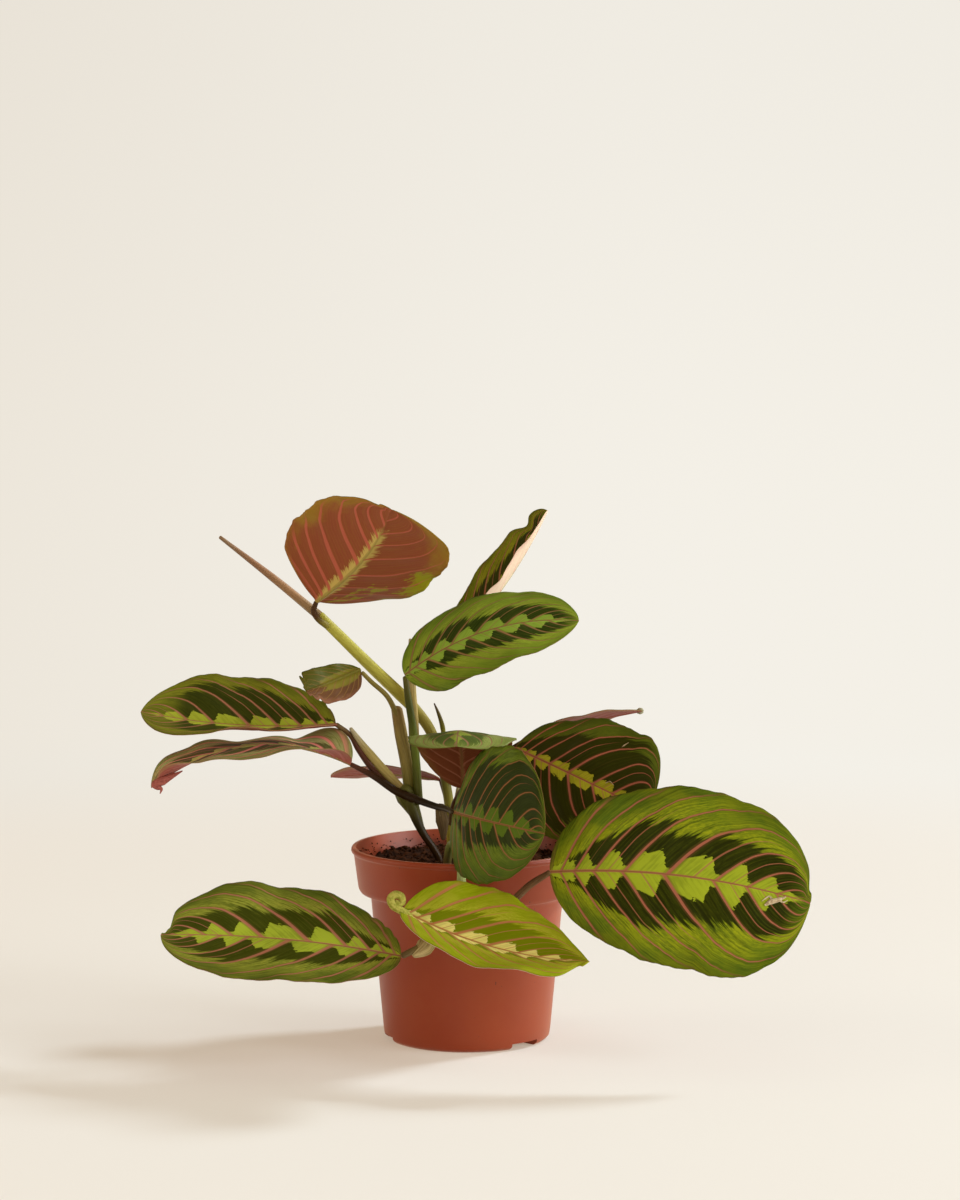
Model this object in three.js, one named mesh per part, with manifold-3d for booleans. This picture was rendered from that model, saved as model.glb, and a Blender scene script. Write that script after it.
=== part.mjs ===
// Potted prayer plant: a nursery pot with potting soil, three leafy stems and their leaves.
// Millimetres, +Z up, origin at the centre of the pot's underside, the plant's front towards -Y.

import * as THREE from "three";
import { mergeVertices } from "three/addons/utils/BufferGeometryUtils.js";
import Module from "manifold-3d";

// Pot
const POT_HEIGHT = 100;
const RIM_RADIUS = 60;
const LIP_DROP = 2.4;
const COLLAR_HEIGHT = 24;
const COLLAR_FOOT_RADIUS = 56.2;
const BODY_TOP_RADIUS = 49.8;
const BODY_FOOT_RADIUS = 43.2;
const BASE_RADIUS = 40.5;
const WALL = 1.4;
const FLOOR_THICKNESS = 1.8;
const POT_SEGMENTS = 66;

// Drainage channels under the pot
const CHANNEL_AZIMUTHS = [75, 195, 315];
const CHANNEL_WIDTH = 18;
const CHANNEL_HEIGHT = 3.3;
const CHANNEL_START = 21;
const DRAIN_HOLE = { from: 27, to: 35, width: 6 };

// Soil
const SOIL_LEVEL = 89;
const SOIL_LUMP = 1.6;
const SOIL_SEGMENTS = 44;
const SOIL_RINGS = 7;

// Clearance between pieces that touch
const GAP = 0.3;
const ROOT_DEPTH = 17;

// Blades
const BLADE_THICKNESS = 0.7;
const BLADE_ROWS = 13;
const BLADE_COLUMNS = 8;
const STALK_SIDES = 7;
const STALK_STEPS = 2;

// Every leaf blade. base and tip are the two ends of the midrib, and face is the way that the
// upper side looks. arch lifts the midrib's middle towards face and sway moves it to the left,
// seen from above with the tip ahead. Each half of the blade has its width, the share of the
// length at which it is widest (belly), and how blunt it ends. fold is the angle in degrees by
// which it lifts at the midrib and curl what it lifts more on its way to the margin, both given
// at even steps from the base to the tip. wave is the height of the margin's ripples.
const LEAVES = {
  leaf_top: {
    base: [-77.3, -0.6, 227.2], tip: [-37, -78, 280], face: [0.47, 0.65, 0.59],
    arch: 4, sway: 5, wave: 1.5,
    left: { half: 39, belly: 0.54, blunt: 0.46, fold: [37, 22, 12], curl: [0, 0, 0] },
    right: { half: 39, belly: 0.35, blunt: 0.62, fold: [6, 6, 6], curl: [-6, -6, -6] },
  },
  leaf_upper_right: {
    base: [-7, 30, 202], tip: [42, 36, 271.5], face: [-0.76, -0.17, 0.62],
    arch: -4, sway: 0, wave: 1,
    left: { half: 24, belly: 0.46, blunt: 0.7, fold: [26, 26, 20], curl: [0, 0, 0] },
    right: { half: 17, belly: 0.46, blunt: 0.7, fold: [28, 28, 22], curl: [0, 0, 0] },
  },
  leaf_pale: {
    base: [-32, -5, 189.5], tip: [57, -20, 219], face: [-0.33, -0.55, 0.77],
    arch: 6, sway: 7, wave: 1,
    left: { half: 29, belly: 0.4, blunt: 0.65, fold: [0, 4, 4], curl: [0, -10, -10] },
    right: { half: 30, belly: 0.4, blunt: 0.55, fold: [-6, 4, 4], curl: [-10, -10, -10] },
  },
  leaf_left: {
    base: [-67.6, 0, 163.5], tip: [-167.7, -5, 170.5], face: [0.07, -0.17, 0.97],
    arch: -4, sway: 0, wave: 1,
    left: { half: 32, belly: 0.5, blunt: 0.6, fold: [6, 4, -12], curl: [20, 22, 0] },
    right: { half: 35, belly: 0.58, blunt: 0.7, fold: [30, 30, 26], curl: [0, 0, 0] },
  },
  leaf_torn: {
    base: [-55, -8, 192.5], tip: [-81, -38, 185], face: [-0.56, 0.62, -0.52],
    arch: 2, sway: 0, wave: 1,
    left: { half: 11, belly: 0.8, blunt: 0.4, fold: [10, 10, 10], curl: [0, 0, 0] },
    right: { half: 11, belly: 0.35, blunt: 0.6, fold: [10, 10, 10], curl: [0, 0, 0] },
  },
  leaf_left_low: {
    base: [-60, -5, 143.5], tip: [-161, -25, 134], face: [0, -0.05, 0.99],
    arch: 16, sway: 0, wave: 0.5,
    left: { half: 23, belly: 0.5, blunt: 0.66, fold: [30, 8, -8, 6, 60], curl: [0, 0, 0] },
    right: { half: 26, belly: 0.5, blunt: 0.66, fold: [82, 0, -5, 8, 50], curl: [0, 0, 0] },
  },
  leaf_back: {
    base: [-14, 30, 130.5], tip: [-72, 42, 130], face: [0, 0.32, 0.95],
    arch: 2, sway: 0, wave: 0.5,
    left: { half: 18, belly: 0.5, blunt: 0.6, fold: [4, 4, 4], curl: [0, 0, 0] },
    right: { half: 18, belly: 0.5, blunt: 0.6, fold: [4, 4, 4], curl: [0, 0, 0] },
  },
  leaf_arching: {
    base: [-2, -10, 131.6], tip: [-5, -73.5, 161.7], face: [0, 0.37, 0.93],
    arch: 18, sway: 0, wave: 1,
    left: { half: 29, belly: 0.72, blunt: 0.42, fold: [0, -7, -12], curl: [0, 0, 0] },
    right: { half: 26, belly: 0.72, blunt: 0.48, fold: [0, -7, -11], curl: [0, 0, 0] },
  },
  leaf_front: {
    base: [-6.5, -50, 125.2], tip: [38, -122, 125.6], face: [-0.87, -0.48, 0.22],
    arch: 6, sway: 0, wave: 1,
    left: { half: 38, belly: 0.62, blunt: 0.65, fold: [4, 4, 4], curl: [-6, -6, -6] },
    right: { half: 31, belly: 0.5, blunt: 0.6, fold: [4, 4, 4], curl: [-6, -6, -6] },
  },
  leaf_right: {
    base: [24.7, -10, 152.4], tip: [91, -60, 127], face: [-0.5, -0.75, 0.4],
    arch: 6, sway: 0, wave: 1,
    left: { half: 34, belly: 0.78, blunt: 0.5, fold: [-4, 5, 5], curl: [-12, -8, -8] },
    right: { half: 34, belly: 0.46, blunt: 0.55, fold: [5, 5, 5], curl: [-8, -8, -8] },
  },
  leaf_big: {
    base: [41.6, -75, 98.9], tip: [170, -90, 86], face: [0, -0.95, 0.3],
    arch: 6, sway: 5, wave: 1,
    left: { half: 44, belly: 0.54, blunt: 0.56, fold: [6, 6, 6], curl: [-6, -6, -6] },
    right: { half: 47, belly: 0.68, blunt: 0.42, fold: [6, 6, 6], curl: [-6, -6, -6] },
  },
  leaf_low_left: {
    base: [-32.6, -78, 57], tip: [-151.5, -85, 69], face: [0.1, -0.44, 0.9],
    arch: 4, sway: 0, wave: 1,
    left: { half: 36, belly: 0.6, blunt: 0.56, fold: [2, 2, 2], curl: [0, 0, 0] },
    right: { half: 36, belly: 0.6, blunt: 0.64, fold: [12, 12, 12], curl: [0, 0, 0] },
  },
  leaf_young: {
    base: [-32, -76, 79.7], tip: [60, -118, 62], face: [0, -0.36, 0.93],
    arch: -7, sway: 0, wave: 1,
    left: { half: 29, belly: 0.34, blunt: 1, fold: [40, 37, 30], curl: [0, 0, 0] },
    right: { half: 28, belly: 0.7, blunt: 0.7, fold: [16, 12, 20], curl: [0, 0, 0] },
  },
  leaf_behind: {
    base: [32.7, 10, 155.4], tip: [91, 10, 169], face: [0, 0.24, 0.96],
    arch: 1, sway: 0, wave: 0.5,
    left: { half: 22, belly: 0.4, blunt: 0.8, fold: [4, 4, 4], curl: [0, 0, 0] },
    right: { half: 22, belly: 0.4, blunt: 0.8, fold: [4, 4, 4], curl: [0, 0, 0] },
  },
};

// How round a blade is from its base to where it is widest, and from there to its tip
const BASE_ROUNDNESS = 2.3;
const TIP_ROUNDNESS = 2.2;

// The stems. Each stalk is a list of centre points with a radius at each, and depth flattens it
// from front to back. The first stalk of a stem is the one that stands in the soil.
const STEMS = {
  stem_left: [
    {
      points: [[-14, 4, 72], [-14, 4, 82], [-14.5, 4, 92], [-18, 3, 99], [-22, 2, 105], [-26, 1, 113],
        [-30, 0, 124]],
      radii: [2, 2, 2, 2, 2, 2.4, 3], depth: 1,
    },
    {
      points: [[-24, 1, 110], [-27, 1, 117], [-31, 0, 125], [-33, -1, 129]],
      radii: [1.8, 3.2, 5.2, 4.6], depth: 0.55,
    },
    {
      points: [[-29.5, 2, 122], [-31, 2, 140], [-34, 2, 158], [-36.2, 1, 171]],
      radii: [2.6, 3, 3.2, 2.8], depth: 0.7,
    },
    {
      points: [[-36, 1, 168], [-41, -2, 178], [-49, -6, 186], [-53.6, -7.6, 190.9]],
      radii: [1.6, 1.3, 1.2, 1.1], depth: 1,
    },
    {
      points: [[-25, 0, 122], [-26.3, -1, 145], [-27.8, -3, 161], [-30, -4.5, 176], [-31.6, -5, 188.2]],
      radii: [2.4, 2.1, 2, 1.9, 1.4], depth: 1,
    },
    {
      points: [[-28, 4, 122], [-27, 5, 140], [-27.5, 6, 160], [-29, 9, 182], [-29.5, 14, 206]],
      radii: [2.2, 2.4, 2.6, 2.6, 0.7], depth: 0.7,
    },
    { points: [[-28.5, 9, 184], [-19, 20, 194], [-7.3, 29.6, 201.5]], radii: [1.8, 1.4, 1.2], depth: 1 },
    {
      points: [[-32, -1, 127], [-42, 0, 137.5], [-50, 1, 147], [-60, 1, 161]],
      radii: [3, 3, 2.6, 0.9], depth: 0.7,
    },
    {
      points: [[-36, -3, 128.5], [-45, -3, 136], [-56, 1, 150], [-60, 2.5, 157], [-67.2, 0.1, 163.1]],
      radii: [1.9, 1.8, 1.5, 1.4, 1.2], depth: 1,
    },
    {
      points: [[-27, -4, 125], [-36, -5, 129], [-48, -5, 137], [-59.6, -5, 143.1]],
      radii: [2.2, 2.1, 1.7, 1.2], depth: 1,
    },
    {
      points: [[-34, -4, 128], [-24, -8, 124.6], [-16, -16, 123], [-11, -30, 124], [-6.8, -49.6, 125.1]],
      radii: [2.1, 1.9, 1.7, 1.5, 1.2], depth: 1,
    },
    { points: [[-14, -17, 124], [-12.5, -20, 116], [-12, -21, 107]], radii: [2.2, 3.4, 1.2], depth: 0.5 },
  ],
  stem_tall: [
    {
      points: [[-8, 10, 72], [-8, 10, 82], [-8, 10, 92], [-8.5, 9, 108], [-9.8, 9, 124], [-14, 11, 145],
        [-19.5, 14, 159], [-27, 15, 169], [-35, 14, 177.5], [-52.5, 10, 195], [-76, 5, 219]],
      radii: [2.4, 2.4, 2.4, 2.4, 2.5, 2.6, 2.8, 3, 3.3, 3, 2.6], depth: 1,
    },
    {
      points: [[-72, 3, 214], [-76.5, -0.2, 218], [-78.8, -1, 222], [-77.5, -0.7, 226.7]],
      radii: [1.7, 1.6, 1.5, 1.2], depth: 1,
    },
    {
      points: [[-13.5, 10, 145], [-12, 4, 154], [-12.6, 0, 162], [-14.6, -2, 169], [-16.8, -3, 174.5]],
      radii: [1.3, 1.1, 1.3, 0.9, 0.35], depth: 1,
    },
    {
      points: [[-7.5, 8, 112], [-5.8, 3, 122], [-4.6, 0, 130], [-4.2, -1, 134]],
      radii: [1, 1.2, 0.9, 0.35], depth: 1,
    },
    { points: [[-8.6, 8, 110], [-7, 1, 121], [-2.2, -9.7, 131.4]], radii: [1.5, 1.3, 1.2], depth: 1 },
    {
      points: [[-8.6, 9, 108], [0, 9, 124], [14, 3, 142], [24.1, -9.5, 151.9]],
      radii: [1.6, 1.5, 1.4, 1.2], depth: 1,
    },
    {
      points: [[-8.6, 10, 106], [5, 14, 128], [20, 14, 146], [32.1, 10.2, 154.9]],
      radii: [1.6, 1.5, 1.4, 1.2], depth: 1,
    },
    { points: [[-8.4, 10, 102], [-10, 20, 118], [-13.8, 29.7, 130.2]], radii: [1.6, 1.4, 1.2], depth: 1 },
  ],
  stem_trailing: [
    {
      points: [[-10, -22, 72], [-10, -22, 81], [-10, -22, 90], [-10, -22.3, 94], [-8.5, -31, 104.5],
        [-6, -43, 108],
        [-4, -54, 106], [-3, -61, 102.5], [-2.6, -63.5, 97], [-3, -63.5, 89], [-6, -64, 80], [-14, -67, 69.5],
        [-21, -71.5, 62], [-31.6, -77.4, 57.2]],
      radii: [2.2, 2.2, 2.2, 2.2, 2.2, 2.2, 2.2, 2.2, 2.2, 2.4, 2.4, 2.8, 3, 1.6], depth: 1,
    },
    {
      points: [[-3.4, -63.5, 87], [4, -64.5, 80], [13, -66, 79], [22, -68, 82.5], [32, -71.5, 92],
        [41, -74.8, 98.4]],
      radii: [1.8, 1.8, 1.8, 1.8, 1.7, 1.4], depth: 1,
    },
    {
      points: [[-5, -63.5, 83], [-18, -65.5, 77], [-30, -69, 76], [-33, -75, 79]],
      radii: [1.8, 1.6, 1.4, 1.2], depth: 1,
    },
  ],
};

// The youngest leaf, still rolled up, stands out of the tallest stem's last sheath
const ROLLED_LEAF = {
  points: [[-76.4, 5, 219.4], [-100, 4, 239], [-126.8, 2, 260]],
  radii: [2.4, 1.9, 0.9], depth: 1,
};

const COLOURS = {
  pot: { color: "#9c5437", roughness: 0.55, metalness: 0 },
  soil: { color: "#231a14", roughness: 1, metalness: 0 },
  stem: { color: "#6f7434", roughness: 0.6, metalness: 0 },
  blade: { color: "#3f5a24", roughness: 0.45, metalness: 0 },
};

const wasm = await Module();
wasm.setup();

// Turns a closed geometry into a solid that can be cut and joined
function toSolid(geometry) {
  const bare = new THREE.BufferGeometry();
  bare.setAttribute("position", geometry.getAttribute("position"));
  bare.setIndex(geometry.getIndex());
  const merged = mergeVertices(bare, 1e-4);
  const mesh = new wasm.Mesh({
    numProp: 3,
    vertProperties: new Float32Array(merged.getAttribute("position").array),
    triVerts: new Uint32Array(merged.getIndex().array),
  });
  return new wasm.Manifold(mesh);
}

// Turns a solid back into a geometry
function toGeometry(solid) {
  const mesh = solid.getMesh();
  const geometry = new THREE.BufferGeometry();
  geometry.setAttribute("position", new THREE.BufferAttribute(new Float32Array(mesh.vertProperties), 3));
  geometry.setIndex(new THREE.BufferAttribute(new Uint32Array(mesh.triVerts), 1));
  geometry.computeVertexNormals();
  return geometry;
}

function joined(geometries) {
  return geometries.map(toSolid).reduce((whole, piece) => whole.add(piece));
}

function material(name) {
  return new THREE.MeshStandardMaterial(COLOURS[name]);
}

function named(name, geometry, finish) {
  const mesh = new THREE.Mesh(geometry, material(finish));
  mesh.name = name;
  return mesh;
}

// A lathed body around +Z from a profile of [radius, height] pairs
function lathe(profile, segments) {
  const points = profile.map(([r, z]) => new THREE.Vector2(r, z));
  return new THREE.LatheGeometry(points, segments).rotateX(Math.PI / 2);
}

// A box that runs outward from the axis along an azimuth
function radialBox(azimuth, from, to, width, bottom, top) {
  const box = new THREE.BoxGeometry(to - from, width, top - bottom);
  box.translate((from + to) / 2, 0, (bottom + top) / 2);
  return box.rotateZ(THREE.MathUtils.degToRad(azimuth));
}

// The pot's outside and its inside, as lathe profiles
function potOutside() {
  return [
    [0, 0],
    [BASE_RADIUS, 0],
    [BASE_RADIUS + 2.2, 1.6],
    [BODY_FOOT_RADIUS, 4.5],
    [BODY_TOP_RADIUS, POT_HEIGHT - COLLAR_HEIGHT - 1.5],
    [BODY_TOP_RADIUS + 1.2, POT_HEIGHT - COLLAR_HEIGHT],
    [COLLAR_FOOT_RADIUS - 1.2, POT_HEIGHT - COLLAR_HEIGHT + 0.6],
    [COLLAR_FOOT_RADIUS, POT_HEIGHT - COLLAR_HEIGHT + 2.6],
    [RIM_RADIUS - 1.4, POT_HEIGHT - LIP_DROP - 1],
    [RIM_RADIUS - 0.2, POT_HEIGHT - LIP_DROP],
    [RIM_RADIUS, POT_HEIGHT - LIP_DROP / 2],
    [RIM_RADIUS - 0.7, POT_HEIGHT],
    [0, POT_HEIGHT],
  ];
}

function potInside(clearance) {
  const wall = WALL + clearance;
  return [
    [0, FLOOR_THICKNESS + clearance],
    [BASE_RADIUS - wall + 0.4, FLOOR_THICKNESS + clearance],
    [BODY_FOOT_RADIUS - wall, 6],
    [BODY_TOP_RADIUS - wall, POT_HEIGHT - COLLAR_HEIGHT + 0.4],
    [COLLAR_FOOT_RADIUS - wall - 0.6, POT_HEIGHT - COLLAR_HEIGHT + 2.4],
    [RIM_RADIUS - 0.8 - wall, POT_HEIGHT + 2],
    [0, POT_HEIGHT + 2],
  ];
}

// The raised roofs of the drainage channels, which stand up inside the pot
function channelRoofs(clearance) {
  const half = WALL + clearance;
  const width = CHANNEL_WIDTH + 2 * half;
  const roof = CHANNEL_HEIGHT + half;
  return CHANNEL_AZIMUTHS.map((azimuth) =>
    radialBox(azimuth, CHANNEL_START - half, BASE_RADIUS + 10, width, -1, roof));
}

function buildPot() {
  const cavity = toSolid(lathe(potInside(0), POT_SEGMENTS)).subtract(joined(channelRoofs(0)));
  let pot = toSolid(lathe(potOutside(), POT_SEGMENTS)).subtract(cavity);
  for (const azimuth of CHANNEL_AZIMUTHS) {
    const channel = radialBox(azimuth, CHANNEL_START, BASE_RADIUS + 10, CHANNEL_WIDTH, -1, CHANNEL_HEIGHT);
    const hole = radialBox(azimuth, DRAIN_HOLE.from, DRAIN_HOLE.to, DRAIN_HOLE.width, 1, 3 * CHANNEL_HEIGHT);
    pot = pot.subtract(toSolid(channel)).subtract(toSolid(hole));
  }
  return named("pot", toGeometry(pot), "pot");
}

// Uneven soil surface: a few long swells and shorter lumps
function soilHeight(x, y) {
  const swell = Math.sin(x * 0.07 + 1.1) * Math.cos(y * 0.09 - 0.4);
  const lumps = Math.sin(x * 0.31 + y * 0.17) * Math.sin(y * 0.37 - x * 0.11 + 2.1);
  const crumbs = Math.sin(x * 0.93 - y * 0.51) * Math.cos(y * 0.87 + x * 0.29);
  return SOIL_LUMP * (0.7 * swell + 0.6 * lumps + 0.35 * crumbs);
}

function buildSoil() {
  const inside = potInside(GAP);
  const below = inside.filter(([, z]) => z < SOIL_LEVEL);
  const [lower, upper] = [inside[below.length - 1], inside[below.length]];
  const share = (SOIL_LEVEL - lower[1]) / (upper[1] - lower[1]);
  const edge = lower[0] + share * (upper[0] - lower[0]);
  const rings = [];
  for (let i = 0; i <= SOIL_RINGS; i += 1) {
    rings.push([edge * (1 - i / SOIL_RINGS), SOIL_LEVEL]);
  }
  const body = lathe([...below, ...rings], SOIL_SEGMENTS);
  const position = body.getAttribute("position");
  for (let i = 0; i < position.count; i += 1) {
    const [x, y, z] = [position.getX(i), position.getY(i), position.getZ(i)];
    if (z > SOIL_LEVEL - 0.01) {
      const inward = 1 - Math.hypot(x, y) / edge;
      position.setZ(i, z + soilHeight(x, y) * Math.min(1, 6 * inward));
    }
  }
  let soil = toSolid(body).subtract(joined(channelRoofs(GAP)));
  for (const stalks of Object.values(STEMS)) {
    const [[x, y, foot]] = stalks[0].points;
    const radius = stalks[0].radii[0] + GAP;
    const hole = new THREE.CylinderGeometry(radius, radius, 2 * ROOT_DEPTH, 14);
    hole.rotateX(Math.PI / 2).translate(x, y, foot - GAP + ROOT_DEPTH);
    soil = soil.subtract(toSolid(hole));
  }
  return named("soil", toGeometry(soil), "soil");
}

// A stalk with a radius at each of its points, closed at both ends
function stalkGeometry({ points, radii, depth }) {
  const curve = new THREE.CatmullRomCurve3(points.map((p) => new THREE.Vector3(...p)), false, "centripetal");
  const rings = (points.length - 1) * STALK_STEPS;
  const positions = [];
  let across = new THREE.Vector3(0, 1, 0);
  for (let i = 0; i <= rings; i += 1) {
    const u = i / rings;
    const centre = curve.getPoint(u);
    const tangent = curve.getTangent(u);
    across = across.clone().addScaledVector(tangent, -across.dot(tangent)).normalize();
    const side = new THREE.Vector3().crossVectors(tangent, across);
    const place = Math.min(u * (radii.length - 1), radii.length - 1 - 1e-9);
    const step = Math.floor(place);
    const radius = THREE.MathUtils.lerp(radii[step], radii[step + 1], place - step);
    for (let k = 0; k < STALK_SIDES; k += 1) {
      const angle = (2 * Math.PI * k) / STALK_SIDES;
      const point = centre.clone().addScaledVector(side, radius * Math.cos(angle));
      point.addScaledVector(across, -radius * depth * Math.sin(angle));
      positions.push(...point.toArray());
    }
  }
  const first = positions.length / 3;
  positions.push(...curve.getPoint(0).toArray(), ...curve.getPoint(1).toArray());
  const index = [];
  for (let k = 0; k < STALK_SIDES; k += 1) {
    const next = (k + 1) % STALK_SIDES;
    for (let i = 0; i < rings; i += 1) {
      const low = i * STALK_SIDES;
      const high = low + STALK_SIDES;
      index.push(low + k, high + next, high + k, low + k, low + next, high + next);
    }
    const last = rings * STALK_SIDES;
    index.push(first, next, k, first + 1, last + k, last + next);
  }
  const geometry = new THREE.BufferGeometry();
  geometry.setAttribute("position", new THREE.Float32BufferAttribute(positions, 3));
  geometry.setIndex(index);
  return geometry;
}

function buildStem(name, stalks) {
  return named(name, toGeometry(joined(stalks.map(stalkGeometry))), "stem");
}

// A value given at even steps from base to tip, at t from base to tip
function between(values, t) {
  const place = Math.min(t * (values.length - 1), values.length - 1 - 1e-9);
  const step = Math.floor(place);
  const share = THREE.MathUtils.smoothstep(place - step, 0, 1);
  return THREE.MathUtils.lerp(values[step], values[step + 1], share);
}

// The middle surface of a blade. t runs from base to tip and v from -1 at the right margin,
// over the midrib at 0, to 1 at the left margin.
class Blade {
  constructor(spec) {
    this.spec = spec;
    this.base = new THREE.Vector3(...spec.base);
    this.chord = new THREE.Vector3(...spec.tip).sub(this.base);
    this.along = this.chord.clone().normalize();
    const face = new THREE.Vector3(...spec.face);
    this.up = face.addScaledVector(this.along, -face.dot(this.along)).normalize();
    this.left = new THREE.Vector3().crossVectors(this.up, this.along);
  }

  midrib(t) {
    const bow = 4 * t * (1 - t);
    return this.base.clone()
      .addScaledVector(this.chord, t)
      .addScaledVector(this.up, this.spec.arch * bow)
      .addScaledVector(this.left, this.spec.sway * bow);
  }

  // Half width as a share of the widest
  static outline({ belly, blunt }, t) {
    if (t < belly) {
      return Math.sqrt(1 - ((belly - t) / belly) ** BASE_ROUNDNESS);
    }
    return (1 - ((t - belly) / (1 - belly)) ** TIP_ROUNDNESS) ** blunt;
  }

  point(t, v) {
    const isLeft = v >= 0;
    const half = isLeft ? this.spec.left : this.spec.right;
    const reach = Math.abs(v);
    const ahead = this.midrib(Math.min(t + 0.01, 1));
    const tangent = ahead.sub(this.midrib(Math.max(t - 0.01, 0))).normalize();
    const up = this.up.clone().addScaledVector(tangent, -this.up.dot(tangent)).normalize();
    const left = new THREE.Vector3().crossVectors(up, tangent);
    const fold = THREE.MathUtils.degToRad(between(half.fold, t));
    const curl = THREE.MathUtils.degToRad(between(half.curl, t)) || 1e-6;
    const width = half.half * Blade.outline(half, t);
    const across = (Math.sin(fold + curl * reach) - Math.sin(fold)) / curl;
    const rise = (Math.cos(fold) - Math.cos(fold + curl * reach)) / curl;
    const beat = Math.sin(17 * t + (isLeft ? 0 : 2.4)) * Math.sin(Math.PI * t);
    const ripple = this.spec.wave * reach ** 2 * beat;
    return this.midrib(t)
      .addScaledVector(left, (isLeft ? 1 : -1) * width * across)
      .addScaledVector(up, width * rise + ripple);
  }

  normal(t, v) {
    const low = Math.max(t - 0.02, 0.02);
    const high = Math.min(t + 0.02, 0.98);
    const forward = this.point(high, v).sub(this.point(low, v));
    const sideways = this.point(THREE.MathUtils.clamp(t, 0.04, 0.96), Math.min(v + 0.1, 1))
      .sub(this.point(THREE.MathUtils.clamp(t, 0.04, 0.96), Math.max(v - 0.1, -1)));
    return forward.cross(sideways).normalize();
  }

  geometry() {
    const faces = [[], []];
    const put = (t, v) => {
      const centre = this.point(t, v);
      const normal = this.normal(t, v);
      faces[0].push(...centre.clone().addScaledVector(normal, BLADE_THICKNESS / 2).toArray());
      faces[1].push(...centre.addScaledVector(normal, -BLADE_THICKNESS / 2).toArray());
    };
    put(0, 0);
    for (let row = 1; row < BLADE_ROWS; row += 1) {
      const t = 0.5 - 0.5 * Math.cos((Math.PI * row) / BLADE_ROWS);
      for (let column = 0; column <= BLADE_COLUMNS; column += 1) {
        put(t, (2 * column) / BLADE_COLUMNS - 1);
      }
    }
    put(1, 0);
    const perRow = BLADE_COLUMNS + 1;
    const tip = 1 + (BLADE_ROWS - 1) * perRow;
    const at = (row, column) => 1 + (row - 1) * perRow + column;
    const top = [];
    for (let column = 0; column < BLADE_COLUMNS; column += 1) {
      top.push([0, at(1, column), at(1, column + 1)]);
      for (let row = 1; row < BLADE_ROWS - 1; row += 1) {
        top.push([at(row, column), at(row + 1, column), at(row + 1, column + 1)]);
        top.push([at(row, column), at(row + 1, column + 1), at(row, column + 1)]);
      }
      top.push([at(BLADE_ROWS - 1, column), tip, at(BLADE_ROWS - 1, column + 1)]);
    }
    const rim = [0];
    for (let row = 1; row < BLADE_ROWS; row += 1) rim.push(at(row, 0));
    rim.push(tip);
    for (let row = BLADE_ROWS - 1; row > 0; row -= 1) rim.push(at(row, BLADE_COLUMNS));
    const under = tip + 1;
    const index = [];
    for (const [a, b, c] of top) {
      index.push(a, b, c, under + a, under + c, under + b);
    }
    rim.forEach((a, i) => {
      const b = rim[(i + 1) % rim.length];
      index.push(b, a, under + a, b, under + a, under + b);
    });
    const geometry = new THREE.BufferGeometry();
    geometry.setAttribute("position", new THREE.Float32BufferAttribute([...faces[0], ...faces[1]], 3));
    geometry.setIndex(index);
    return geometry;
  }
}

function buildPlant() {
  const plant = new THREE.Group();
  for (const [name, stalks] of Object.entries(STEMS)) {
    plant.add(buildStem(name, stalks));
  }
  plant.add(named("leaf_rolled", toGeometry(toSolid(stalkGeometry(ROLLED_LEAF))), "stem"));
  for (const [name, spec] of Object.entries(LEAVES)) {
    plant.add(named(name, toGeometry(toSolid(new Blade(spec).geometry())), "blade"));
  }
  return plant;
}

const model = new THREE.Group();
model.add(buildPot());
model.add(buildSoil());
model.add(buildPlant());

export default model;
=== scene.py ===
"""Dresses the potted prayer plant: pot, soil, stems and patterned leaves, with floor, light and camera.

Metres, +Z up, origin at the centre of the pot's underside, the plant's front towards -Y. The sizes
of the pieces are given in millimetres, as they are measured, and turned into metres when built.
"""

import logging
import math
from dataclasses import asdict, dataclass
from enum import Enum
from typing import Callable, Union

import bmesh
import bpy
import numpy as np
from mathutils import Euler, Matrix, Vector


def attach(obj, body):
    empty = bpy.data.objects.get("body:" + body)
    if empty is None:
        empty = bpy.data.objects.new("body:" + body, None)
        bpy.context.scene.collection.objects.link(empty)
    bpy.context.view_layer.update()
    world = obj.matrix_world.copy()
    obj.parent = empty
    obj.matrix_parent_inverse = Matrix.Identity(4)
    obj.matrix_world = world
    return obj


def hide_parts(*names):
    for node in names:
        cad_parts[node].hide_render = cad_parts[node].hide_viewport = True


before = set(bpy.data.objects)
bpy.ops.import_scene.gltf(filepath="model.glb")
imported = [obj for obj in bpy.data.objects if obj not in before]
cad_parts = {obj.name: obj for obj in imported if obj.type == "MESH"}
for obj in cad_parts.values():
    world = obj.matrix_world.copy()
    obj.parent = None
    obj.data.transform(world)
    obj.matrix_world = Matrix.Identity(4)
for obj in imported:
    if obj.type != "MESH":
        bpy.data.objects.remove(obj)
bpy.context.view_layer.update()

log = logging.getLogger("prayer_plant")
logging.basicConfig(level=logging.INFO, format="%(message)s")

MM = 0.001
Colour = tuple[float, float, float]
Point = tuple[float, float, float]
Field = Union[float, "Signal", bpy.types.NodeSocket]

MARGIN_BROWN = (0.1, 0.07, 0.015)
RIB_BROWN = (0.06, 0.05, 0.01)


# Shader building


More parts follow.
